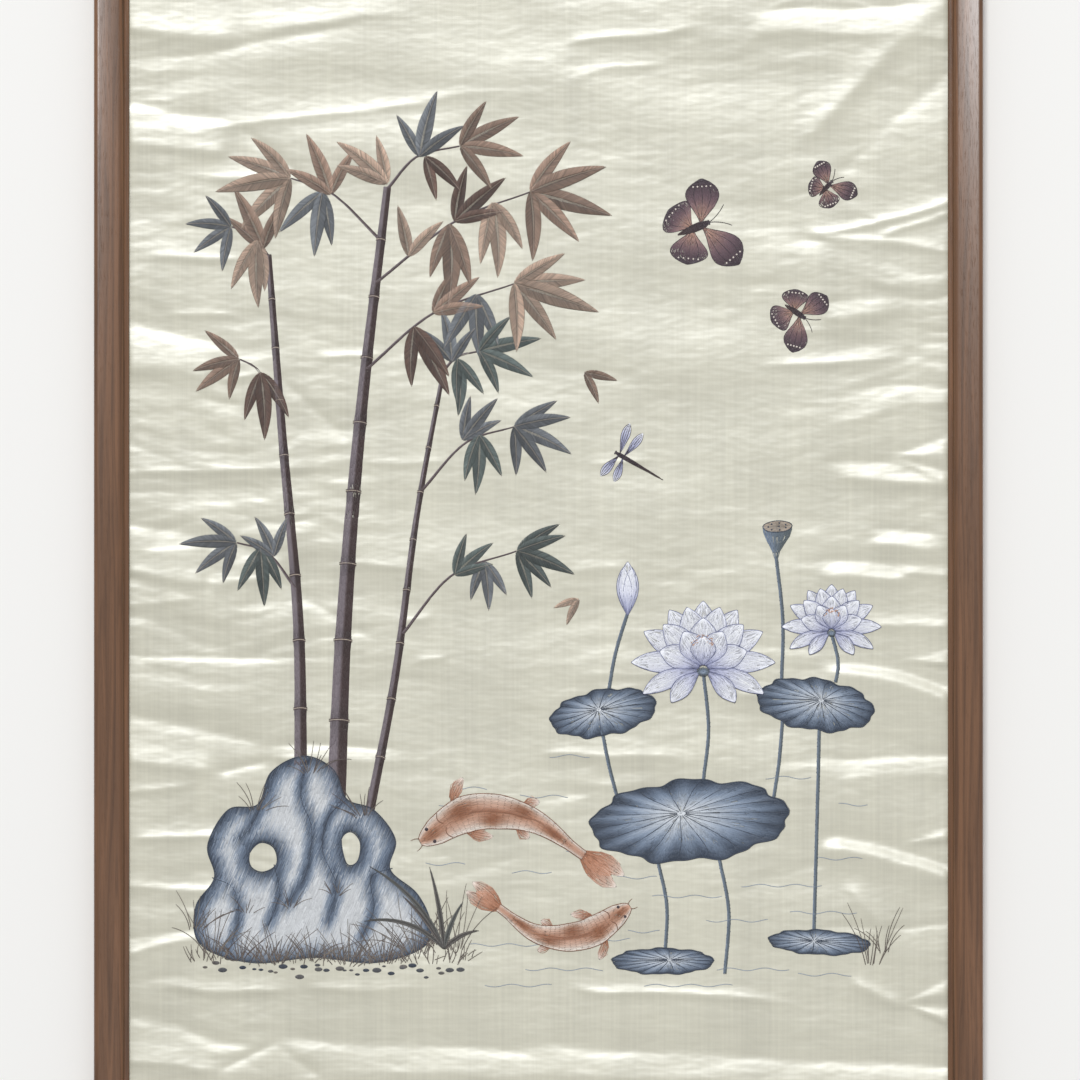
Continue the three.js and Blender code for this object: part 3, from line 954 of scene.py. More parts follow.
        def on_curve(share):
            return (
                start * (1 - share) * (1 - 2 * share) + 4 * middle * share * (1 - share)
                + end * share * (2 * share - 1)
            )

        def ground(place):
            return self.cloth.at(place[:, 0], place[:, 1])

        near, far = (ground(on_curve(share)) for share in RING_SHARES)
        bridging = np.zeros(len(rows))
        for share in (0.3, 0.5, 0.7):
            chord = near + (far - near) * (share - RING_SHARES[0]) / (RING_SHARES[1] - RING_SHARES[0])
            bridging = np.maximum(bridging, ground(on_curve(share)) - chord)

        def corner(share, across, place, rise):
            places.append(np.column_stack([place, ground(place) + lift + rise]) * MM)
            colours.append(np.column_stack([first + (last - first) * share, np.ones(len(rows))]))
            maps.append(np.column_stack([share * length, across * width[:, 0]]) * MM + shift)

        corner(0, 0.5, start, -0.05)
        for share in RING_SHARES:
            centre = on_curve(share)
            run = start * (4 * share - 3) + 4 * middle * (1 - 2 * share) + end * (4 * share - 1)
            run /= np.linalg.norm(run, axis=1, keepdims=True) + 1e-9
            left = np.column_stack([-run[:, 1], run[:, 0]]) * width / 2
            corner(share, 0, centre + left, bridging)
            corner(share, 0.5, centre, bridging + CREST * width[:, 0])
            corner(share, 1, centre - left, bridging)
        corner(1, 0.5, end, -0.05)
        faces = (STITCH_FACES + 8 * np.arange(len(rows))[:, None, None]).reshape(-1, 3)
        mesh = mesh_from_arrays(self.name, np.stack(places, 1).reshape(-1, 3), faces)
        floss_layer = mesh.color_attributes.new(name="Floss", type="FLOAT_COLOR", domain="POINT")
        floss_layer.data.foreach_set("color", np.stack(colours, 1).ravel())
        corners = faces.ravel()
        thread_map = mesh.uv_layers.new(name="Thread")
        thread_map.uv.foreach_set("vector", np.stack(maps, 1).reshape(-1, 2)[corners].ravel())
        mesh.uv_layers.new(name="OFBake").uv.foreach_set("vector", self.plots(len(rows))[corners].ravel())
        mesh.uv_layers.active = thread_map
        thread_map.active_render = True
        piece = bpy.data.objects.new(self.name, mesh)
        bpy.context.scene.collection.objects.link(piece)
        mesh.materials.append(bpy.data.materials.get("Silk Floss") or floss_material(self.roughness))
        hand_over(piece, "silk")

    @staticmethod
    def plots(count):
        """A map that gives every stitch a plot of its own, for textures made of the piece."""
        side = math.ceil(math.sqrt(count))
        along = np.array([0.1, *[RING_SHARES[0]] * 3, *[RING_SHARES[1]] * 3, 0.9])
        across = np.array([0.5, 0.15, 0.5, 0.85, 0.15, 0.5, 0.85, 0.5])
        corner = np.column_stack(np.divmod(np.arange(count), side))
        plots = corner[:, None, :] + np.stack([across, along], -1)[None]
        return plots.reshape(-1, 2) / side


def mesh_from_arrays(name, places, faces):
    """A smooth mesh of triangles."""
    mesh = bpy.data.meshes.new(name)
    mesh.vertices.add(len(places))
    mesh.vertices.foreach_set("co", places.astype(np.float32).ravel())
    mesh.loops.add(faces.size)
    mesh.loops.foreach_set("vertex_index", faces.astype(np.int32).ravel())
    mesh.polygons.add(len(faces))
    mesh.polygons.foreach_set("loop_start", np.arange(0, faces.size, 3, dtype=np.int32))
    mesh.polygons.foreach_set("use_smooth", np.ones(len(faces), bool))
    mesh.update(calc_edges=True)
    return mesh


def floss_material(roughness):
    """Silk floss: the stitch's own colour, fine fibres along it and a gloss drawn out across it."""
    material, tree, shader = new_material("Silk Floss")
    colour = tree.add("Attribute", output="Color", attribute_name="Floss")
    fibres = tree.threads(tree.add("UVMap", uv_map="Thread"), (140, 11000, 1), 0.86, 1.1)
    tree.feed(shader, {
        "Base Color": tree.toned(colour, fibres),
        "Normal": tree.bump(fibres, 0.00006, 0.5),
        "Tangent": tree.add("Tangent", direction_type="UV_MAP", uv_map="Thread"),
        "Roughness": roughness,
        "Anisotropic": 0.6,
        "Specular IOR Level": 0.6,
        "Sheen Weight": 0.1,
    })
    return material


# Bamboo culms: points of the middle line from the foot up, and the widths of foot and top
CULMS = [
    ([(-150, -196), (-144, -60), (-132, 90), (-112, 262)], 14, 5.5),
    ([(-176, -178), (-178, -60), (-190, 80), (-200, 212)], 9.5, 4),
    ([(-126, -206), (-106, -100), (-90, 20), (-70, 128)], 7, 3),
]

# Bamboo twigs: start, middle and end, each on or off a culm
TWIGS = [
    ((-121, 190), (-62, 236), (-6, 258)),
    ((-128, 126), (-78, 168), (-18, 190)),
    ((-112, 260), (-90, 284), (-58, 292)),
    ((-117, 222), (-152, 256), (-184, 268)),
    ((-191, 100), (-208, 126), (-222, 134)),
    ((-200, 210), (-212, 226), (-228, 232)),
    ((-101, -70), (-64, -26), (-16, -8)),
    ((-87, 36), (-54, 72), (-18, 84)),
    ((-180, -36), (-200, -10), (-224, -2)),
    ((-70, 126), (-60, 136), (-44, 140)),
]

# Sprays of leaves: place, heading in degrees, leaves, spread in degrees, length of a leaf, and floss
SPRAYS = [
    (-6, 258, -10, 5, 130, 58, "leaf"),
    (-34, 250, -75, 3, 60, 54, "leaf_light"),
    (-62, 236, 50, 3, 70, 50, "leaf_dark"),
    (-66, 234, -88, 3, 56, 56, "leaf"),
    (-96, 210, 70, 2, 46, 44, "leaf_light"),
    (-18, 190, -20, 5, 130, 58, "leaf_light"),
    (-46, 182, -95, 3, 60, 52, "leaf_slate"),
    (-78, 168, 40, 3, 60, 46, "leaf"),
    (-92, 158, -70, 3, 56, 50, "leaf_dark"),
    (-58, 292, 10, 4, 110, 50, "leaf"),
    (-88, 284, 80, 3, 70, 46, "leaf_slate"),
    (-112, 264, 125, 3, 60, 48, "leaf_light"),
    (-84, 284, -50, 2, 40, 44, "leaf_dark"),
    (-184, 268, 185, 5, 130, 52, "leaf_light"),
    (-154, 256, 100, 3, 70, 48, "leaf"),
    (-160, 258, -105, 3, 60, 50, "leaf_slate"),
    (-222, 134, -160, 4, 110, 40, "leaf"),
    (-206, 124, -80, 3, 60, 46, "leaf_dark"),
    (-228, 232, 190, 4, 120, 38, "leaf_slate"),
    (-204, 216, 110, 3, 70, 44, "leaf"),
    (-208, 222, -95, 3, 56, 46, "leaf_light"),
    (-16, -8, -15, 5, 120, 42, "leaf_green"),
    (-40, -16, -80, 3, 60, 38, "leaf_slate"),
    (-62, -26, 50, 3, 70, 36, "leaf_green"),
    (-18, 84, -20, 5, 120, 46, "leaf_slate"),
    (-44, 78, -85, 3, 60, 42, "leaf_green"),
    (-56, 74, 60, 3, 60, 38, "leaf_slate"),
    (-224, -2, -165, 4, 110, 40, "leaf_slate"),
    (-206, -6, -85, 3, 60, 40, "leaf_green"),
    (-196, -12, 110, 3, 60, 34, "leaf_slate"),
    (-44, 140, 0, 4, 110, 44, "leaf_green"),
    (-64, 132, 95, 3, 70, 40, "leaf_slate"),
    (-60, 134, -75, 3, 50, 40, "leaf_green"),
    (34, 124, -28, 2, 44, 28, "leaf"),
    (30, -44, 212, 2, 50, 25, "leaf_light"),
]


LEAF_FLOSS = {
    "brown_leaves": ("leaf", "leaf_light", "leaf_dark"),
    "slate_leaves": ("leaf_slate", "leaf_green"),
}


class Sewing:
    """What the sewing operators share: each names its pieces with the seeds of their draws, and sews them."""

    def execute(self, context):
        for name, seed in self.pieces.items():
            work = Needlework(context, name, seed)
            self.sew(work, context.scene.embroidery_floss)
            work.lay()
        return {"FINISHED"}


class EMBROIDERY_OT_bamboo(Sewing, bpy.types.Operator):
    """Sews the bamboo culms with their joints, and the twigs"""

    bl_idname = "embroidery.bamboo"
    bl_label = "Bamboo Culms"
    pieces = {"bamboo_culms": 21}

    def sew(self, work, floss):
        for points, foot, top in CULMS:
            path = Path(points)
            joints = np.cumsum(np.linspace(1.25, 0.8, 9))
            self.culm(work, floss, path, foot, top, joints[:-1] / joints[-1])
        for points in TWIGS:
            path = Path(points)
            patch = blade(path, lambda s: 1.1 - 0.6 * s)
            work.fill(patch, 2.2, path.length, lambda s, t: mixed((t + 1) / 2, floss.bark_dark, floss.bark))

    @staticmethod
    def culm(work, floss, path, foot, top, joints):
        def half_width(s):
            nearest = np.min(np.abs(np.subtract.outer(s, joints)), axis=-1) * path.length
            return (foot + (top - foot) * s) / 2 * (1 + 0.1 * np.exp(-((nearest / 2.5) ** 2)))

        def colour(s, t):
            lit = smooth_step((t + 0.25) / 0.5)
            nearest = np.min(np.abs(np.subtract.outer(s, joints)), axis=-1) * path.length
            shade = 1 - 0.22 * np.exp(-((nearest / 5) ** 2))
            return mixed(lit, floss.bark_dark, floss.bark) * shade[..., None]

        patch = blade(path, half_width)
        work.fill(patch, foot, path.length, colour, stitch=6.5)
        for joint in joints:
            for step, tone in ((-0.8, floss.bark_dark), (0.0, floss.rib), (0.8, floss.bark_dark)):
                t = np.linspace(-1.12, 1.12, 9)
                bow = 0.8 / path.length * (1 - t**2)
                work.vein(patch, joint + step / path.length + bow, t, tone, layer=1, width=0.6, stitch=3)


class EMBROIDERY_OT_leaves(Sewing, bpy.types.Operator):
    """Sews the sprays of bamboo leaves, brown ones above and slate green ones lower down"""

    bl_idname = "embroidery.leaves"
    bl_label = "Bamboo Leaves"
    pieces = {"brown_leaves": 31, "slate_leaves": 32}

    def sew(self, work, floss):
        for spray in SPRAYS:
            if spray[-1] in LEAF_FLOSS[work.name]:
                self.spray(work, floss, *spray)

    @staticmethod
    def spray(work, floss, x, y, heading, leaves, spread, length, kind):
        base = np.array(getattr(floss, kind))
        order = work.random.permutation(leaves)
        for rank, place in enumerate(order):
            share = place / (leaves - 1) - 0.5
            way = heading + spread * share + work.random.normal(0, 4)
            size = length * (1.05 - 0.45 * abs(share)) * work.random.uniform(0.9, 1.1)
            droop = -14 if math.cos(math.radians(way)) > 0 else 14
            path = sprung((x, y), way, size, droop * work.random.uniform(0.3, 1.5))
            tone = base * work.random.uniform(0.88, 1.12)
            half_width = pointed(size * 0.105 + 0.6, 0.4)
            sides = [tone * 1.09, tone * 0.88]
            if math.cos(math.radians(way)) < 0:
                sides.reverse()
            work.leaf(path, half_width, *sides, mixed(0.55, tone, floss.rib), layer=1 + rank, pitch=0.6)


def closed_loop(points, steps=10):
    """A smooth closed outline through points."""
    points = np.asarray(points, float)
    ring = np.vstack([points[-1:], points, points[:2]])
    return Path.rounded(ring, steps)[steps:-steps - 1]


def distance_to(points, loops):
    """Distance from points to the nearest side of any loop."""
    nearest = np.full(len(points), 1e9)
    for loop in loops:
        start, run = loop[:-1], np.diff(loop, axis=0)
        offset = points[:, None] - start
        share = np.clip((offset * run).sum(-1) / ((run**2).sum(-1) + 1e-9), 0, 1)
        nearest = np.minimum(nearest, np.linalg.norm(offset - share[..., None] * run, axis=-1).min(1))
    return nearest


# The garden rock: its outline, the hollows worn through it, and the creases down its faces
ROCK = [
    (-250, -300), (-254, -272), (-240, -250), (-245, -226), (-230, -200), (-208, -196), (-198, -172),
    (-174, -160), (-152, -170), (-142, -192), (-122, -200), (-106, -222), (-110, -244), (-90, -262),
    (-80, -284), (-86, -302), (-122, -313), (-166, -309), (-212, -313),
]
ROCK_HOLLOWS = [
    [(-214, -232), (-206, -224), (-196, -228), (-194, -240), (-204, -246), (-213, -242)],
    [(-146, -222), (-139, -216), (-132, -224), (-134, -238), (-142, -240)],
]
ROCK_CREASES = [
    [(-206, -198), (-214, -214), (-222, -222)],
    [(-172, -162), (-176, -190), (-168, -214), (-172, -246), (-186, -270)],
    [(-142, -192), (-156, -206), (-160, -230), (-150, -256), (-156, -284)],
    [(-108, -243), (-124, -250), (-122, -274), (-132, -296)],
    [(-242, -250), (-226, -258), (-222, -280), (-228, -300)],
    [(-196, -240), (-192, -262), (-200, -286)],
]

# Grass tufts: place, strokes, height, spread in degrees, and lean in degrees
TUFTS = [
    (-240, -304, 15, 30, 74, 8), (-222, -309, 13, 24, 80, 0), (-196, -313, 17, 30, 80, -6),
    (-168, -311, 13, 24, 70, 10), (-142, -314, 16, 28, 80, 0), (-116, -313, 17, 32, 70, -8),
    (-92, -306, 19, 40, 74, -14), (-76, -300, 13, 30, 60, -30), (-253, -288, 11, 28, 60, 24),
    (-184, -272, 8, 14, 100, 0), (-150, -262, 8, 13, 100, 0), (-216, -276, 7, 13, 100, 0),
    (-168, -172, 11, 24, 84, 0), (-130, -204, 11, 22, 84, -16), (-208, -200, 10, 20, 84, 20),
    (-62, -303, 11, 44, 60, -10), (247, -314, 9, 44, 36, 2), (255, -306, 6, 32, 36, -6),
]
TURF_STROKES = 190

# Blades of the orchid beside the rock: heading, length, and bend in degrees
ORCHID_BLADES = [(130, 66, 62), (112, 84, 40), (94, 62, 12), (80, 38, -24), (50, 30, -44), (118, 50, 20)]


class EMBROIDERY_OT_rock(Sewing, bpy.types.Operator):
    """Sews the garden rock, shaded from dark slate rims to white faces"""

    bl_idname = "embroidery.rock"
    bl_label = "Garden Rock"
    pieces = {"garden_rock": 41}

    def sew(self, work, floss):
        loops = [closed_loop(points) for points in (ROCK, *ROCK_HOLLOWS)]
        rims = [np.vstack([loop, loop[:1]]) for loop in loops]
        creases = [Path(points) for points in ROCK_CREASES]

        def colour(places):
            rim = distance_to(places, rims)
            crease = distance_to(places, [crease.places for crease in creases]) * 1.5 + 1.5
            depth = np.minimum(rim, crease) + work.random.normal(0, 1.5, len(places))
            low = smooth_step((-places[:, 1] - 255) / 50)
            return mixed(depth / 13 + 0.12 * low, floss.stone_dark, floss.stone, floss.stone_light)

        work.fill_outline(loops, 68, colour, stitch=6, layer=1)
        for crease in creases:
            work.line(crease, floss.stone_dark, layer=2, width=0.7, taper=0.5)
        for rim in rims:
            work.line(Path(rim), floss.stone_dark, layer=2, width=0.75)
        self.pebbles(work, floss)

    @staticmethod
    def pebbles(work, floss):
        for x in np.linspace(-246, -58, 34):
            place = (x + work.random.uniform(-3, 3), -317 + work.random.normal(0, 2.6))
            size = work.random.uniform(1.4, 3.4)
            shade = mixed(work.random.random(), floss.stone_dark, floss.grass_light)
            turn = np.linspace(0, 2 * math.pi, 17)[:-1]
            oval = np.column_stack([place[0] + size * np.cos(turn), place[1] + 0.62 * size * np.sin(turn)])
            work.fill_outline([oval], 90, lambda places: mixed(np.zeros(len(places)), shade, shade))


class EMBROIDERY_OT_grass(Sewing, bpy.types.Operator):
    """Sews the grass, the orchid blades and the lines of the water"""

    bl_idname = "embroidery.grass"
    bl_label = "Grass and Water"
    pieces = {"grass_and_water": 51}

    def sew(self, work, floss):
        for x, y, strokes, height, spread, lean in TUFTS:
            for share in np.linspace(-0.5, 0.5, strokes):
                start = (x + share * strokes + work.random.normal(0, 1), y + work.random.normal(0, 1))
                heading = 90 - share * spread - lean + work.random.normal(0, 5)
                bend = -share * 60 + work.random.normal(0, 14)
                length = height * work.random.uniform(0.5, 1.15)
                shade = mixed(work.random.random(), floss.grass, floss.grass_light)
                work.line(sprung(start, heading, length, bend), shade, layer=4, width=0.6, taper=0.55)
        for _ in range(TURF_STROKES):
            start = (work.random.uniform(-258, -48), work.random.normal(-311, 2.4))
            shade = mixed(work.random.random(), floss.grass, floss.grass_light)
            heading, length = work.random.normal(90, 26), work.random.uniform(6, 15)
            blade_path = sprung(start, heading, length, work.random.normal(0, 26))
            work.line(blade_path, shade, layer=4, width=0.6, taper=0.5)
        for heading, length, bend in ORCHID_BLADES:
            path = sprung((-70, -303), heading, length, bend)
            shade = mixed(work.random.random(), floss.leaf_green, floss.grass)
            work.leaf(path, pointed(1.7, 0.35), shade, shade * 0.9, shade * 0.8, layer=5, lean=2.5)
        self.water(work, floss)

    @staticmethod
    def water(work, floss):
        """Broken level lines, gently waved, round the fish and under the pads."""
        for x, y, length in WATER_LINES:
            share = np.linspace(0, 1, 14)
            rise = 1.1 * np.sin(2 * math.pi * (share * length / 26 + work.random.random()))
            path = Path(np.column_stack([x + share * length, y + rise]))
            work.line(path, floss.water, width=0.5)


# Water lines: where each begins, and its length
WATER_LINES = [
    (-74, -196, 44), (-14, -190, 36), (-84, -240, 30), (-52, -300, 62), (28, -296, 40), (-10, -318, 58),
    (58, -250, 30), (84, -264, 52), (150, -256, 60), (124, -282, 46), (186, -276, 50), (132, -318, 54),
    (78, -330, 66), (-40, -330, 50), (20, -230, 14), (192, -322, 40), (-20, -246, 30), (206, -236, 34),
    (168, -176, 34), (-58, -184, 20), (222, -196, 22), (8, -160, 30), (66, -290, 24),
]

# Lotus leaves: centre, half width and half height, turn in degrees, and the heart's place in the leaf
PADS = [
    ((112, -208), (74, 30), 4, (-6, 6)),
    ((205, -122), (44, 19), -8, (4, 4)),
    ((48, -128), (40, 17), 10, (-3, 3)),
    ((92, -312), (38, 9.5), 0, (5, 1)),
    ((208, -298), (38, 9), -3, (-4, 1)),
]

# Lotus stems: points from the top down, where nothing hides them
STEMS = [
    [(122, -97), (126, -140), (122, -179)],
    [(217, -69), (222, -90), (220, -106)],
    [(208, -140), (206, -220), (204, -290)],
    [(47, -140), (52, -166), (60, -197)],
    [(134, -236), (141, -276), (138, -322)],
    [(66, -54), (57, -84), (52, -112)],
    [(176, -12), (181, -60), (180, -106)],
    [(181, -132), (178, -166), (174, -192)],
    [(88, -236), (95, -270), (94, -304)],
]

# Petals of an open lotus from the back to the front: heading, length and width as shares, bend in degrees
PETALS = [
    (90, 0.92, 0.40, 0), (64, 0.92, 0.38, -8), (116, 0.92, 0.38, 8),
    (40, 0.95, 0.34, -16), (140, 0.95, 0.34, 16), (77, 0.86, 0.40, -4), (103, 0.86, 0.40, 4),
    (16, 0.98, 0.30, -22), (164, 0.98, 0.30, 22), (53, 0.80, 0.38, -10), (127, 0.80, 0.38, 10),
    (90, 0.68, 0.42, 0), (-8, 0.88, 0.26, -30), (188, 0.88, 0.26, 30),
    (32, 0.62, 0.34, -20), (148, 0.62, 0.34, 20), (66, 0.55, 0.36, -8), (114, 0.55, 0.36, 8),
    (-34, 0.60, 0.26, -26), (214, 0.60, 0.26, 26), (90, 0.42, 0.36, 0),
]


class EMBROIDERY_OT_pads(Sewing, bpy.types.Operator):
    """Sews the round lotus leaves, dark at the rim and pale at the heart, and the stems"""

    bl_idname = "embroidery.pads"
    bl_label = "Lotus Leaves"
    pieces = {"lotus_leaves": 61}

    def sew(self, work, floss):
        for points in STEMS:
            path = Path(points)
            patch = blade(path, lambda s: np.full(np.shape(s), 1.25))
            work.fill(patch, 2.5, path.length, lambda s, t: mixed((t + 1) / 2, floss.stone, floss.lotus))
            pricks = np.linspace(0.05, 0.95, round(path.length / 3))
            sides = work.random.choice([-1, 1], len(pricks))[:, None] * 1.2
            work.knots(path.at(pricks) + sides * path.side(pricks), 0.7, floss.stone_dark, layer=1)
        for centre, radii, turn, heart in PADS:
            self.pad(work, floss, centre, radii, turn, heart)

    @staticmethod
    def pad(work, floss, centre, radii, turn, heart):
        lobes = 9
        patch = disc(centre, radii, turn, 0.055, lobes, heart)

        def colour(s, t):
            rim = s + 0.10 * np.cos(2 * lobes * math.pi * np.asarray(t)) * s
            return mixed(rim**1.6 + 0.06, floss.stone_light, floss.stone, floss.stone_dark)

        round_it = 2 * math.pi * math.hypot(*radii) / math.sqrt(2)
        work.fill(patch, round_it, sum(radii) / 2, colour, stitch=6.5, layer=1)
        share = np.linspace(0.04, 0.94, 14)
        for t in np.linspace(-1, 1, 2 * lobes + 1)[:-1]:
            work.vein(patch, share, t + 0.02 * np.sin(3 * share), floss.stone_dark, layer=2.4, width=0.5)
        rim = np.linspace(-1, 1, 160)
        work.vein(patch, 0.985, rim, floss.stone_dark, layer=2.4, width=1.0, stitch=2.8)


class EMBROIDERY_OT_lotus(Sewing, bpy.types.Operator):
    """Sews two open lotus flowers, a bud and a seed pod"""

    bl_idname = "embroidery.lotus"
    bl_label = "Lotus Flowers"
    pieces = {"lotus_flowers": 71}

    def sew(self, work, floss):
        self.floss = floss
        self.flower(work, (122, -96), 52)
        self.flower(work, (217, -68), 36)
        self.bud(work)
        self.pod(work)

    def petal(self, work, start, heading, length, width, bend, layer):
        floss = self.floss
        path = sprung(start, heading, length, bend)
        half_width = pointed(width / 2, 0.56)
        patch = blade(path, half_width)

        def colour(s, t):
            streak = 0.06 * np.cos(9 * math.pi * np.asarray(t))
            lightness = 0.1 + 2.3 * s - 1.3 * s**2 - 0.3 * np.abs(t) ** 3 + streak * (1 - s)
            return mixed(lightness, floss.petal_line, floss.petal_shade, floss.petal)

        work.fill(patch, width, length, colour, stitch=6.5, layer=layer, pitch=0.46)
        for side in (-1, 1):
            work.vein(patch, np.linspace(0, 1, 16), side, floss.petal_line, layer + 0.8, 0.5, 2.6)
        work.vein(patch, np.linspace(0.05, 0.6, 14), 0, floss.petal_shade, layer + 0.6, 0.4, taper=0.5)

    def flower(self, work, heart, size):
        for rank, (heading, length, width, bend) in enumerate(PETALS):
            start = np.add(heart, way_at(heading) * size * 0.06)
            self.petal(work, start, heading, length * size, width * size, bend, 1 + 0.45 * rank)
        fan = np.radians(work.random.uniform(50, 130, 30))
        reach = size * work.random.uniform(0.4, 0.5, 30)
        anthers = np.column_stack([heart[0] + 0.55 * reach * np.cos(fan), heart[1] + reach * np.sin(fan)])
        work.knots(anthers, 1.1, self.floss.wing_glow, layer=11)
        cup = disc(np.subtract(heart, (0, size * 0.03)), (size * 0.1, size * 0.07), 0, 0.02, 5)
        shades = (self.floss.stone, self.floss.lotus)
        work.fill(cup, size * 0.5, size * 0.08, lambda s, t: mixed(s, *shades), layer=11)

    def bud(self, work):
        start = (66, -56)
        for heading, length, width, bend in ((100, 36, 11, -10), (80, 36, 11, 10), (90, 40, 13, 0)):
            self.petal(work, start, heading, length, width, bend, 1 + length / 20)

    def pod(self, work):
        floss = self.floss
        path = Path([(176, -14), (176, -4), (177, 10)])
        patch = blade(path, lambda s: 1.4 + 9.6 * smooth_step(s * 1.05))
        work.fill(patch, 21, 24, lambda s, t: mixed(0.5 + t / 2, floss.lotus, floss.stone), stitch=6, layer=1)
        top = disc((177, 10), (11, 4.2), 3, 0.02, 5)
        work.fill(top, 50, 7.5, lambda s, t: mixed(s, floss.grass_light, floss.rib), stitch=4, layer=2)
        work.vein(top, 1, np.linspace(-1, 1, 60), floss.stone_dark, layer=3, width=0.55)
        seeds = top(np.array([0.1, *[0.62] * 7]), np.array([0, *np.linspace(-1, 1, 8)[:-1]]))
        work.knots(seeds, 1.5, floss.stone_dark, layer=3)


# Fish: points of the middle line from head to tail
FISH = [
    [(-88, -224), (-50, -202), (-6, -207), (34, -234)],
    [(68, -271), (35, -292), (0, -292), (-30, -272)],
]
FISH_SHARES = (0, 0.03, 0.1, 0.28, 0.48, 0.72, 0.9, 1)
FISH_WIDTHS = (2, 5.4, 9, 12.6, 11.6, 7, 3.6, 3.2)

# Rust patches on a fish: share of its length, place across it from -1 to 1, and reach along it
FISH_PATCHES = [(0.08, 0, 0.06), (0.27, 0.25, 0.08), (0.44, -0.4, 0.07), (0.6, 0.3, 0.07), (0.8, -0.1, 0.08)]


class EMBROIDERY_OT_fish(Sewing, bpy.types.Operator):
    """Sews two rust and cream fish circling each other"""

    bl_idname = "embroidery.fish"
    bl_label = "Fish"
    pieces = {"fish": 81}

    def sew(self, work, floss):
        for points in FISH:
            path = Path(points)
            scale = path.length / 126
            half_width = lambda s, scale=scale: np.interp(s, FISH_SHARES, FISH_WIDTHS) * scale
            self.fins(work, floss, path, half_width, scale)
            self.body(work, floss, path, half_width, scale)

    @staticmethod
    def fins(work, floss, path, half_width, scale):
        tail = path.at(0.95)
        run = path.at(1.0) - path.at(0.95)
        heading = math.degrees(math.atan2(run[1], run[0]))

        def fin(start, way, length, width, bend, tip=floss.fish_pale):
            patch = blade(sprung(start, way, length * scale, bend), pointed(width * scale / 2, 0.62))
            shades = (floss.fish_dark, floss.fish, tip)
            work.fill(patch, width * scale, length * scale, lambda s, t: mixed(s, *shades), stitch=8)
            share = np.linspace(0.04, 0.95, 12)
            for t in (-0.7, -0.35, 0, 0.35, 0.7):
                work.vein(patch, share, t, floss.fish_dark, 1, 0.4, taper=0.4)

        fin(tail, heading, 29, 11, 0, floss.fish)
        fin(tail, heading + 22, 37, 12, -30)
        fin(tail, heading - 22, 37, 12, 30)
        for share, spread, length in ((0.24, 58, 22), (0.58, 44, 13)):
            for side in (1, -1):
                start = path.at(share) + path.side(share) * side * half_width(share) * 0.7
                fin(start, path_turn(path, share) + side * spread, length, 9, -side * 34)

    @staticmethod
    def body(work, floss, path, half_width, scale):
        patch = blade(path, half_width)

        def colour(s, t):
            s, t = np.broadcast_arrays(s, t)
            dark = sum(
                np.exp(-((((s - share) / reach) ** 2 + ((t - side) / 0.5) ** 2) ** 2))
                for share, side, reach in FISH_PATCHES
            )
            base = mixed(0.25 + np.abs(t) ** 2, floss.fish, floss.fish_pale)
            return base + (np.asarray(floss.fish_dark) - base) * np.clip(dark, 0, 1)[..., None]

        work.fill(patch, 24 * scale, path.length, colour, stitch=6, layer=2)
        dark = np.asarray(floss.fish_dark) * 0.86
        for rank, share in enumerate(np.arange(0.2, 0.93, 0.034)):
            room = half_width(share)
            count = max(2, round(room * 2 / (3.4 * scale)))
            for t in (np.arange(count) + 0.5 * (rank % 2) + 0.25) / count * 2 - 1:
                reach = 0.8 / count
                ends = patch(np.full(2, share), np.clip([t - reach, t + reach], -0.96, 0.96))
                work.add(ends[0], patch(share - 0.022, t), ends[1], 3.2, dark, dark, 0.42)
        for side in (-1, 1):
            work.vein(patch, np.linspace(0, 1, 40), side, dark, layer=3.4, width=0.55)
            gill = side * np.array([0.15, 0.4, 0.7, 0.97])
            work.vein(patch, [0.165, 0.15, 0.15, 0.165], gill, dark, layer=3.6, width=0.6)
            work.knots(patch(0.07, 0.66 * side), 2.6 * scale, floss.wing_dark, layer=4)
            heading = path_turn(path, 0.02) + 180 - side * 46
            feeler = sprung(patch(0.012, 0.5 * side), heading, 7 * scale, side * 50)
            work.line(feeler, dark, layer=3, width=0.5, taper=0.5)
        for share in np.linspace(0.3, 0.64, 34):
            start, end = patch(share, -0.06), patch(share + 0.035, 0.2)
            work.add(start, (start + end) / 2, end, 4, floss.fish_dark, floss.fish, 0.6)


def path_turn(path, share):
    """Heading of a path in degrees at a share of its length."""
    run = path.at(min(share + 0.02, 1)) - path.at(max(share - 0.02, 0))
    return math.degrees(math.atan2(run[1], run[0]))


# Butterflies: centre, span and turn in degrees
BUTTERFLIES = [((118, 232), 68, 22), ((192, 168), 48, -34), ((214, 262), 38, 48)]
DRAGONFLY = ((62, 62), 44, 150)

# Wings of one side, hind wing first: heading in degrees, length and width as shares of the span, bend in
# degrees, and where each leaves the body ahead of the centre
BUTTERFLY_WINGS = [(-36, 0.4, 0.34, 10, -0.05), (30, 0.6, 0.3, -14, 0.03)]
DRAGONFLY_WINGS = [(-14, 0.52, 0.11, 8, -0.02), (16, 0.56, 0.12, -8, 0.05)]


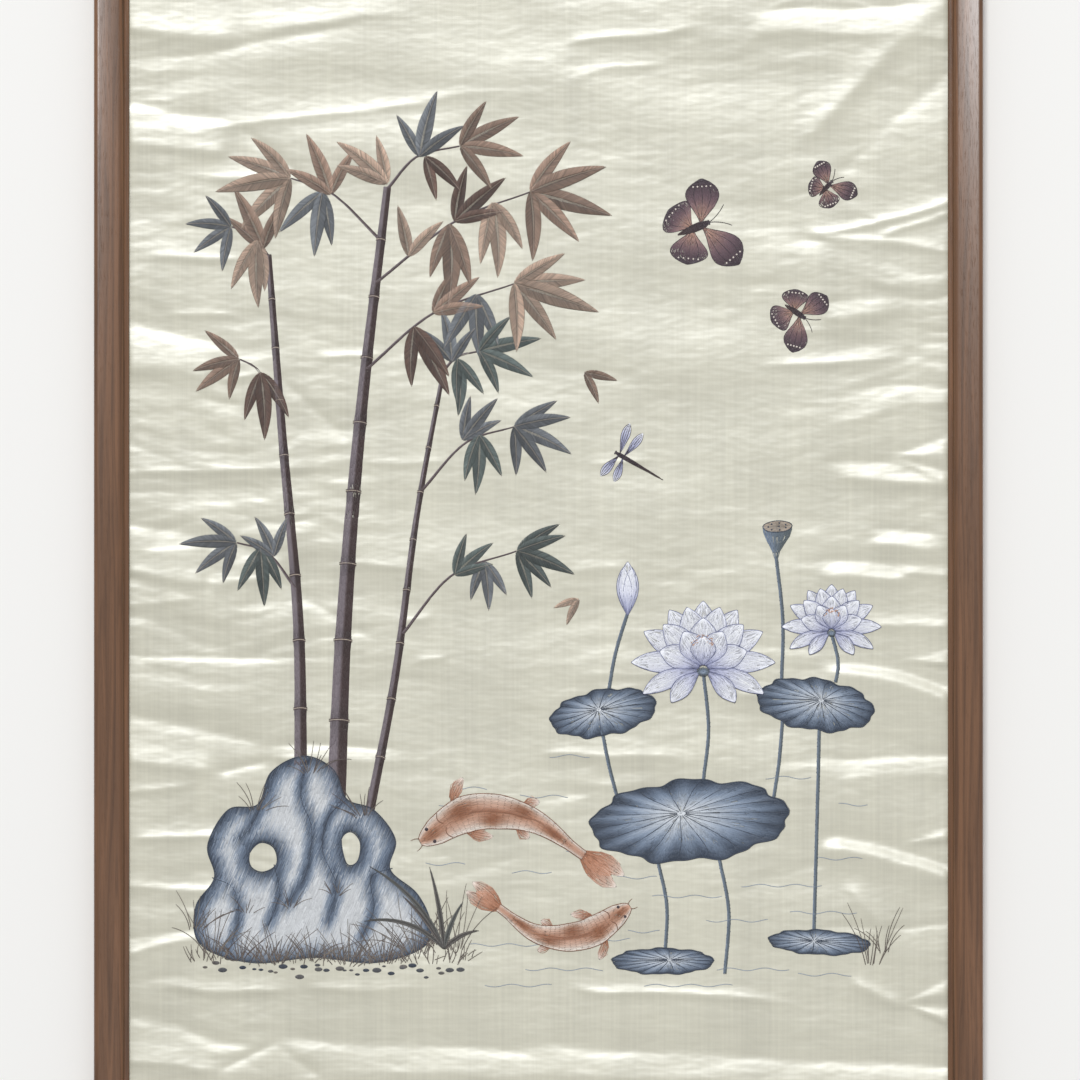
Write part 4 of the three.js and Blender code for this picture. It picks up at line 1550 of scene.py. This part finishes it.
class EMBROIDERY_OT_insects(Sewing, bpy.types.Operator):
    """Sews three butterflies and a dragonfly in the open sky"""

    bl_idname = "embroidery.insects"
    bl_label = "Butterflies"
    pieces = {"butterflies": 91}

    def sew(self, work, floss):
        for centre, span, turn in BUTTERFLIES:
            self.insect(work, floss, centre, span, turn, BUTTERFLY_WINGS, 0.24)
        self.insect(work, floss, *DRAGONFLY, DRAGONFLY_WINGS, 0.8)

    @staticmethod
    def insect(work, floss, centre, span, turn, wings, tail):
        """Wings either side of a body that heads along the turn, and two feelers."""
        ahead = way_at(turn)
        slender = tail > 0.5
        for side in (-1, 1):
            for rank, (heading, length, width, bend, leaves) in enumerate(wings):
                start = centre + ahead * span * leaves
                way = turn - side * (90 - heading)
                path = sprung(start, way, length * span * (1 if side > 0 else 0.86), side * bend)
                patch = blade(path, pointed(width * span * 0.62, 0.66))
                shades = (floss.wing_glow, floss.wing, floss.wing_dark)
                if slender:
                    shades = (floss.petal_line, floss.petal_shade, floss.petal)
                colour = lambda s, t, shades=shades: mixed(s**1.4 + 0.12 * np.abs(t), *shades)
                size = (width * span * 1.24, length * span)
                work.fill(patch, *size, colour, stitch=3.4, layer=rank, pitch=0.46)
                share = np.linspace(0.03, 1, 20) * 0.97
                for t in (-0.98, -0.5, 0, 0.5, 0.98):
                    work.vein(patch, share, t, floss.wing_dark, rank + 1, 0.4, 2.6)
                if not slender:
                    spots = patch(np.full(5, 0.83), np.linspace(-0.66, 0.66, 5))
                    work.knots(spots, 1.5, floss.fish_pale, layer=rank + 2)
        body = Path([centre + ahead * span * 0.15, centre, centre - ahead * span * tail])
        shape = blade(body, pointed(span * (0.032 if slender else 0.045), 0.2 if slender else 0.4))
        colour = lambda s, t: mixed(s, floss.wing_dark, floss.bark_dark)
        work.fill(shape, span * 0.09, body.length, colour, stitch=4, layer=3, pitch=0.46)
        start = centre + ahead * span * 0.13
        for side in (-1, 1):
            if not slender:
                work.line(sprung(start, turn + side * 14, span * 0.26, side * 30), floss.wing_dark, 3, 0.4)
            eye = start + side * span * 0.02 * np.array([-ahead[1], ahead[0]])
            work.knots(eye, 1.2, floss.wing_dark, layer=4)


class EMBROIDERY_OT_fasten(bpy.types.Operator):
    bl_idname = "embroidery.fasten"
    bl_label = "Fasten the Cloth"

    def execute(self, context):
        return {"FINISHED"}


class EMBROIDERY_OT_stage(bpy.types.Operator):
    """Adds the pale floor, the soft lights and the camera above the cloth"""

    bl_idname = "embroidery.stage"
    bl_label = "Stage"

    def execute(self, context):
        settings = context.scene.embroidery_stage
        bpy.ops.object.select_all(action="DESELECT")
        bpy.ops.mesh.primitive_plane_add(size=30)
        floor = context.object
        floor.name = "floor"
        material, tree, shader = new_material("Pale Floor")
        tree.feed(shader, {"Base Color": (*settings.floor, 1), "Roughness": 0.8})
        floor.data.materials.append(material)
        self.lights(settings)
        self.world(context, settings.surround)
        level = SILK_MIDDLE * MM
        bpy.ops.object.camera_add(
            location=(settings.camera_shift, 0, level + settings.camera_height), rotation=(0, 0, 0)
        )
        camera = context.object
        camera.data.sensor_width = 36
        camera.data.lens = 36 * settings.camera_height / settings.seen_height
        context.scene.camera = camera
        context.scene.view_settings.view_transform = "Standard"
        return {"FINISHED"}

    @staticmethod
    def lights(settings):
        key_place = Vector((-0.8, 5.0, 9.6))
        fill_place = Vector((0.6, -1.6, 2.6))
        for name, place, watts, size in (
            ("key", key_place, settings.key_watts, 2.8),
            ("fill", fill_place, settings.fill_watts, 2.0),
        ):
            bpy.ops.object.light_add(type="AREA", location=place)
            light = bpy.context.object
            light.name = name
            light.data.energy = watts
            light.data.color = (0.96, 0.985, 1)
            light.data.size = size
            light.rotation_euler = (-place).to_track_quat("-Z", "Y").to_euler()

    @staticmethod
    def world(context, strength):
        world = bpy.data.worlds.new("Soft Studio")
        context.scene.world = world
        world.use_nodes = True
        background = world.node_tree.nodes["Background"]
        background.inputs["Color"].default_value = (0.93, 0.95, 1, 1)
        background.inputs["Strength"].default_value = strength


class EMBROIDERY_PT_panel(bpy.types.Panel):
    bl_idname = "EMBROIDERY_PT_panel"
    bl_label = "Framed Silk Embroidery"
    bl_space_type = "VIEW_3D"
    bl_region_type = "UI"
    bl_category = "Embroidery"

    def draw(self, context):
        for group in SETTINGS:
            settings = getattr(context.scene, group)
            for name in settings.bl_rna.properties.keys():
                if name not in ("rna_type", "name"):
                    self.layout.prop(settings, name)
        for operator in OPERATORS:
            self.layout.operator(operator.bl_idname)


OPERATORS = (
    EMBROIDERY_OT_frame,
    EMBROIDERY_OT_strainer,
    EMBROIDERY_OT_silk,
    EMBROIDERY_OT_bamboo,
    EMBROIDERY_OT_leaves,
    EMBROIDERY_OT_rock,
    EMBROIDERY_OT_grass,
    EMBROIDERY_OT_pads,
    EMBROIDERY_OT_lotus,
    EMBROIDERY_OT_fish,
    EMBROIDERY_OT_insects,
    EMBROIDERY_OT_fasten,
    EMBROIDERY_OT_stage,
)
SETTINGS = {
    "embroidery_cloth": ClothSettings,
    "embroidery_floss": FlossSettings,
    "embroidery_frame": FrameSettings,
    "embroidery_stage": StageSettings,
}
CLASSES = (*SETTINGS.values(), *OPERATORS, EMBROIDERY_PT_panel)


def register():
    for kind in CLASSES:
        bpy.utils.register_class(kind)
    for name, kind in SETTINGS.items():
        setattr(bpy.types.Scene, name, PointerProperty(type=kind))


def unregister():
    for name in SETTINGS:
        delattr(bpy.types.Scene, name)
    for kind in reversed(CLASSES):
        bpy.utils.unregister_class(kind)


def main():
    register()
    bpy.ops.embroidery.frame()
    bpy.ops.embroidery.strainer()
    bpy.ops.embroidery.silk()
    bpy.ops.embroidery.bamboo()
    bpy.ops.embroidery.leaves()
    bpy.ops.embroidery.rock()
    bpy.ops.embroidery.grass()
    bpy.ops.embroidery.pads()
    bpy.ops.embroidery.lotus()
    bpy.ops.embroidery.fish()
    bpy.ops.embroidery.insects()
    bpy.ops.embroidery.fasten()
    bpy.ops.embroidery.stage()


if __name__ == "__main__":
    main()
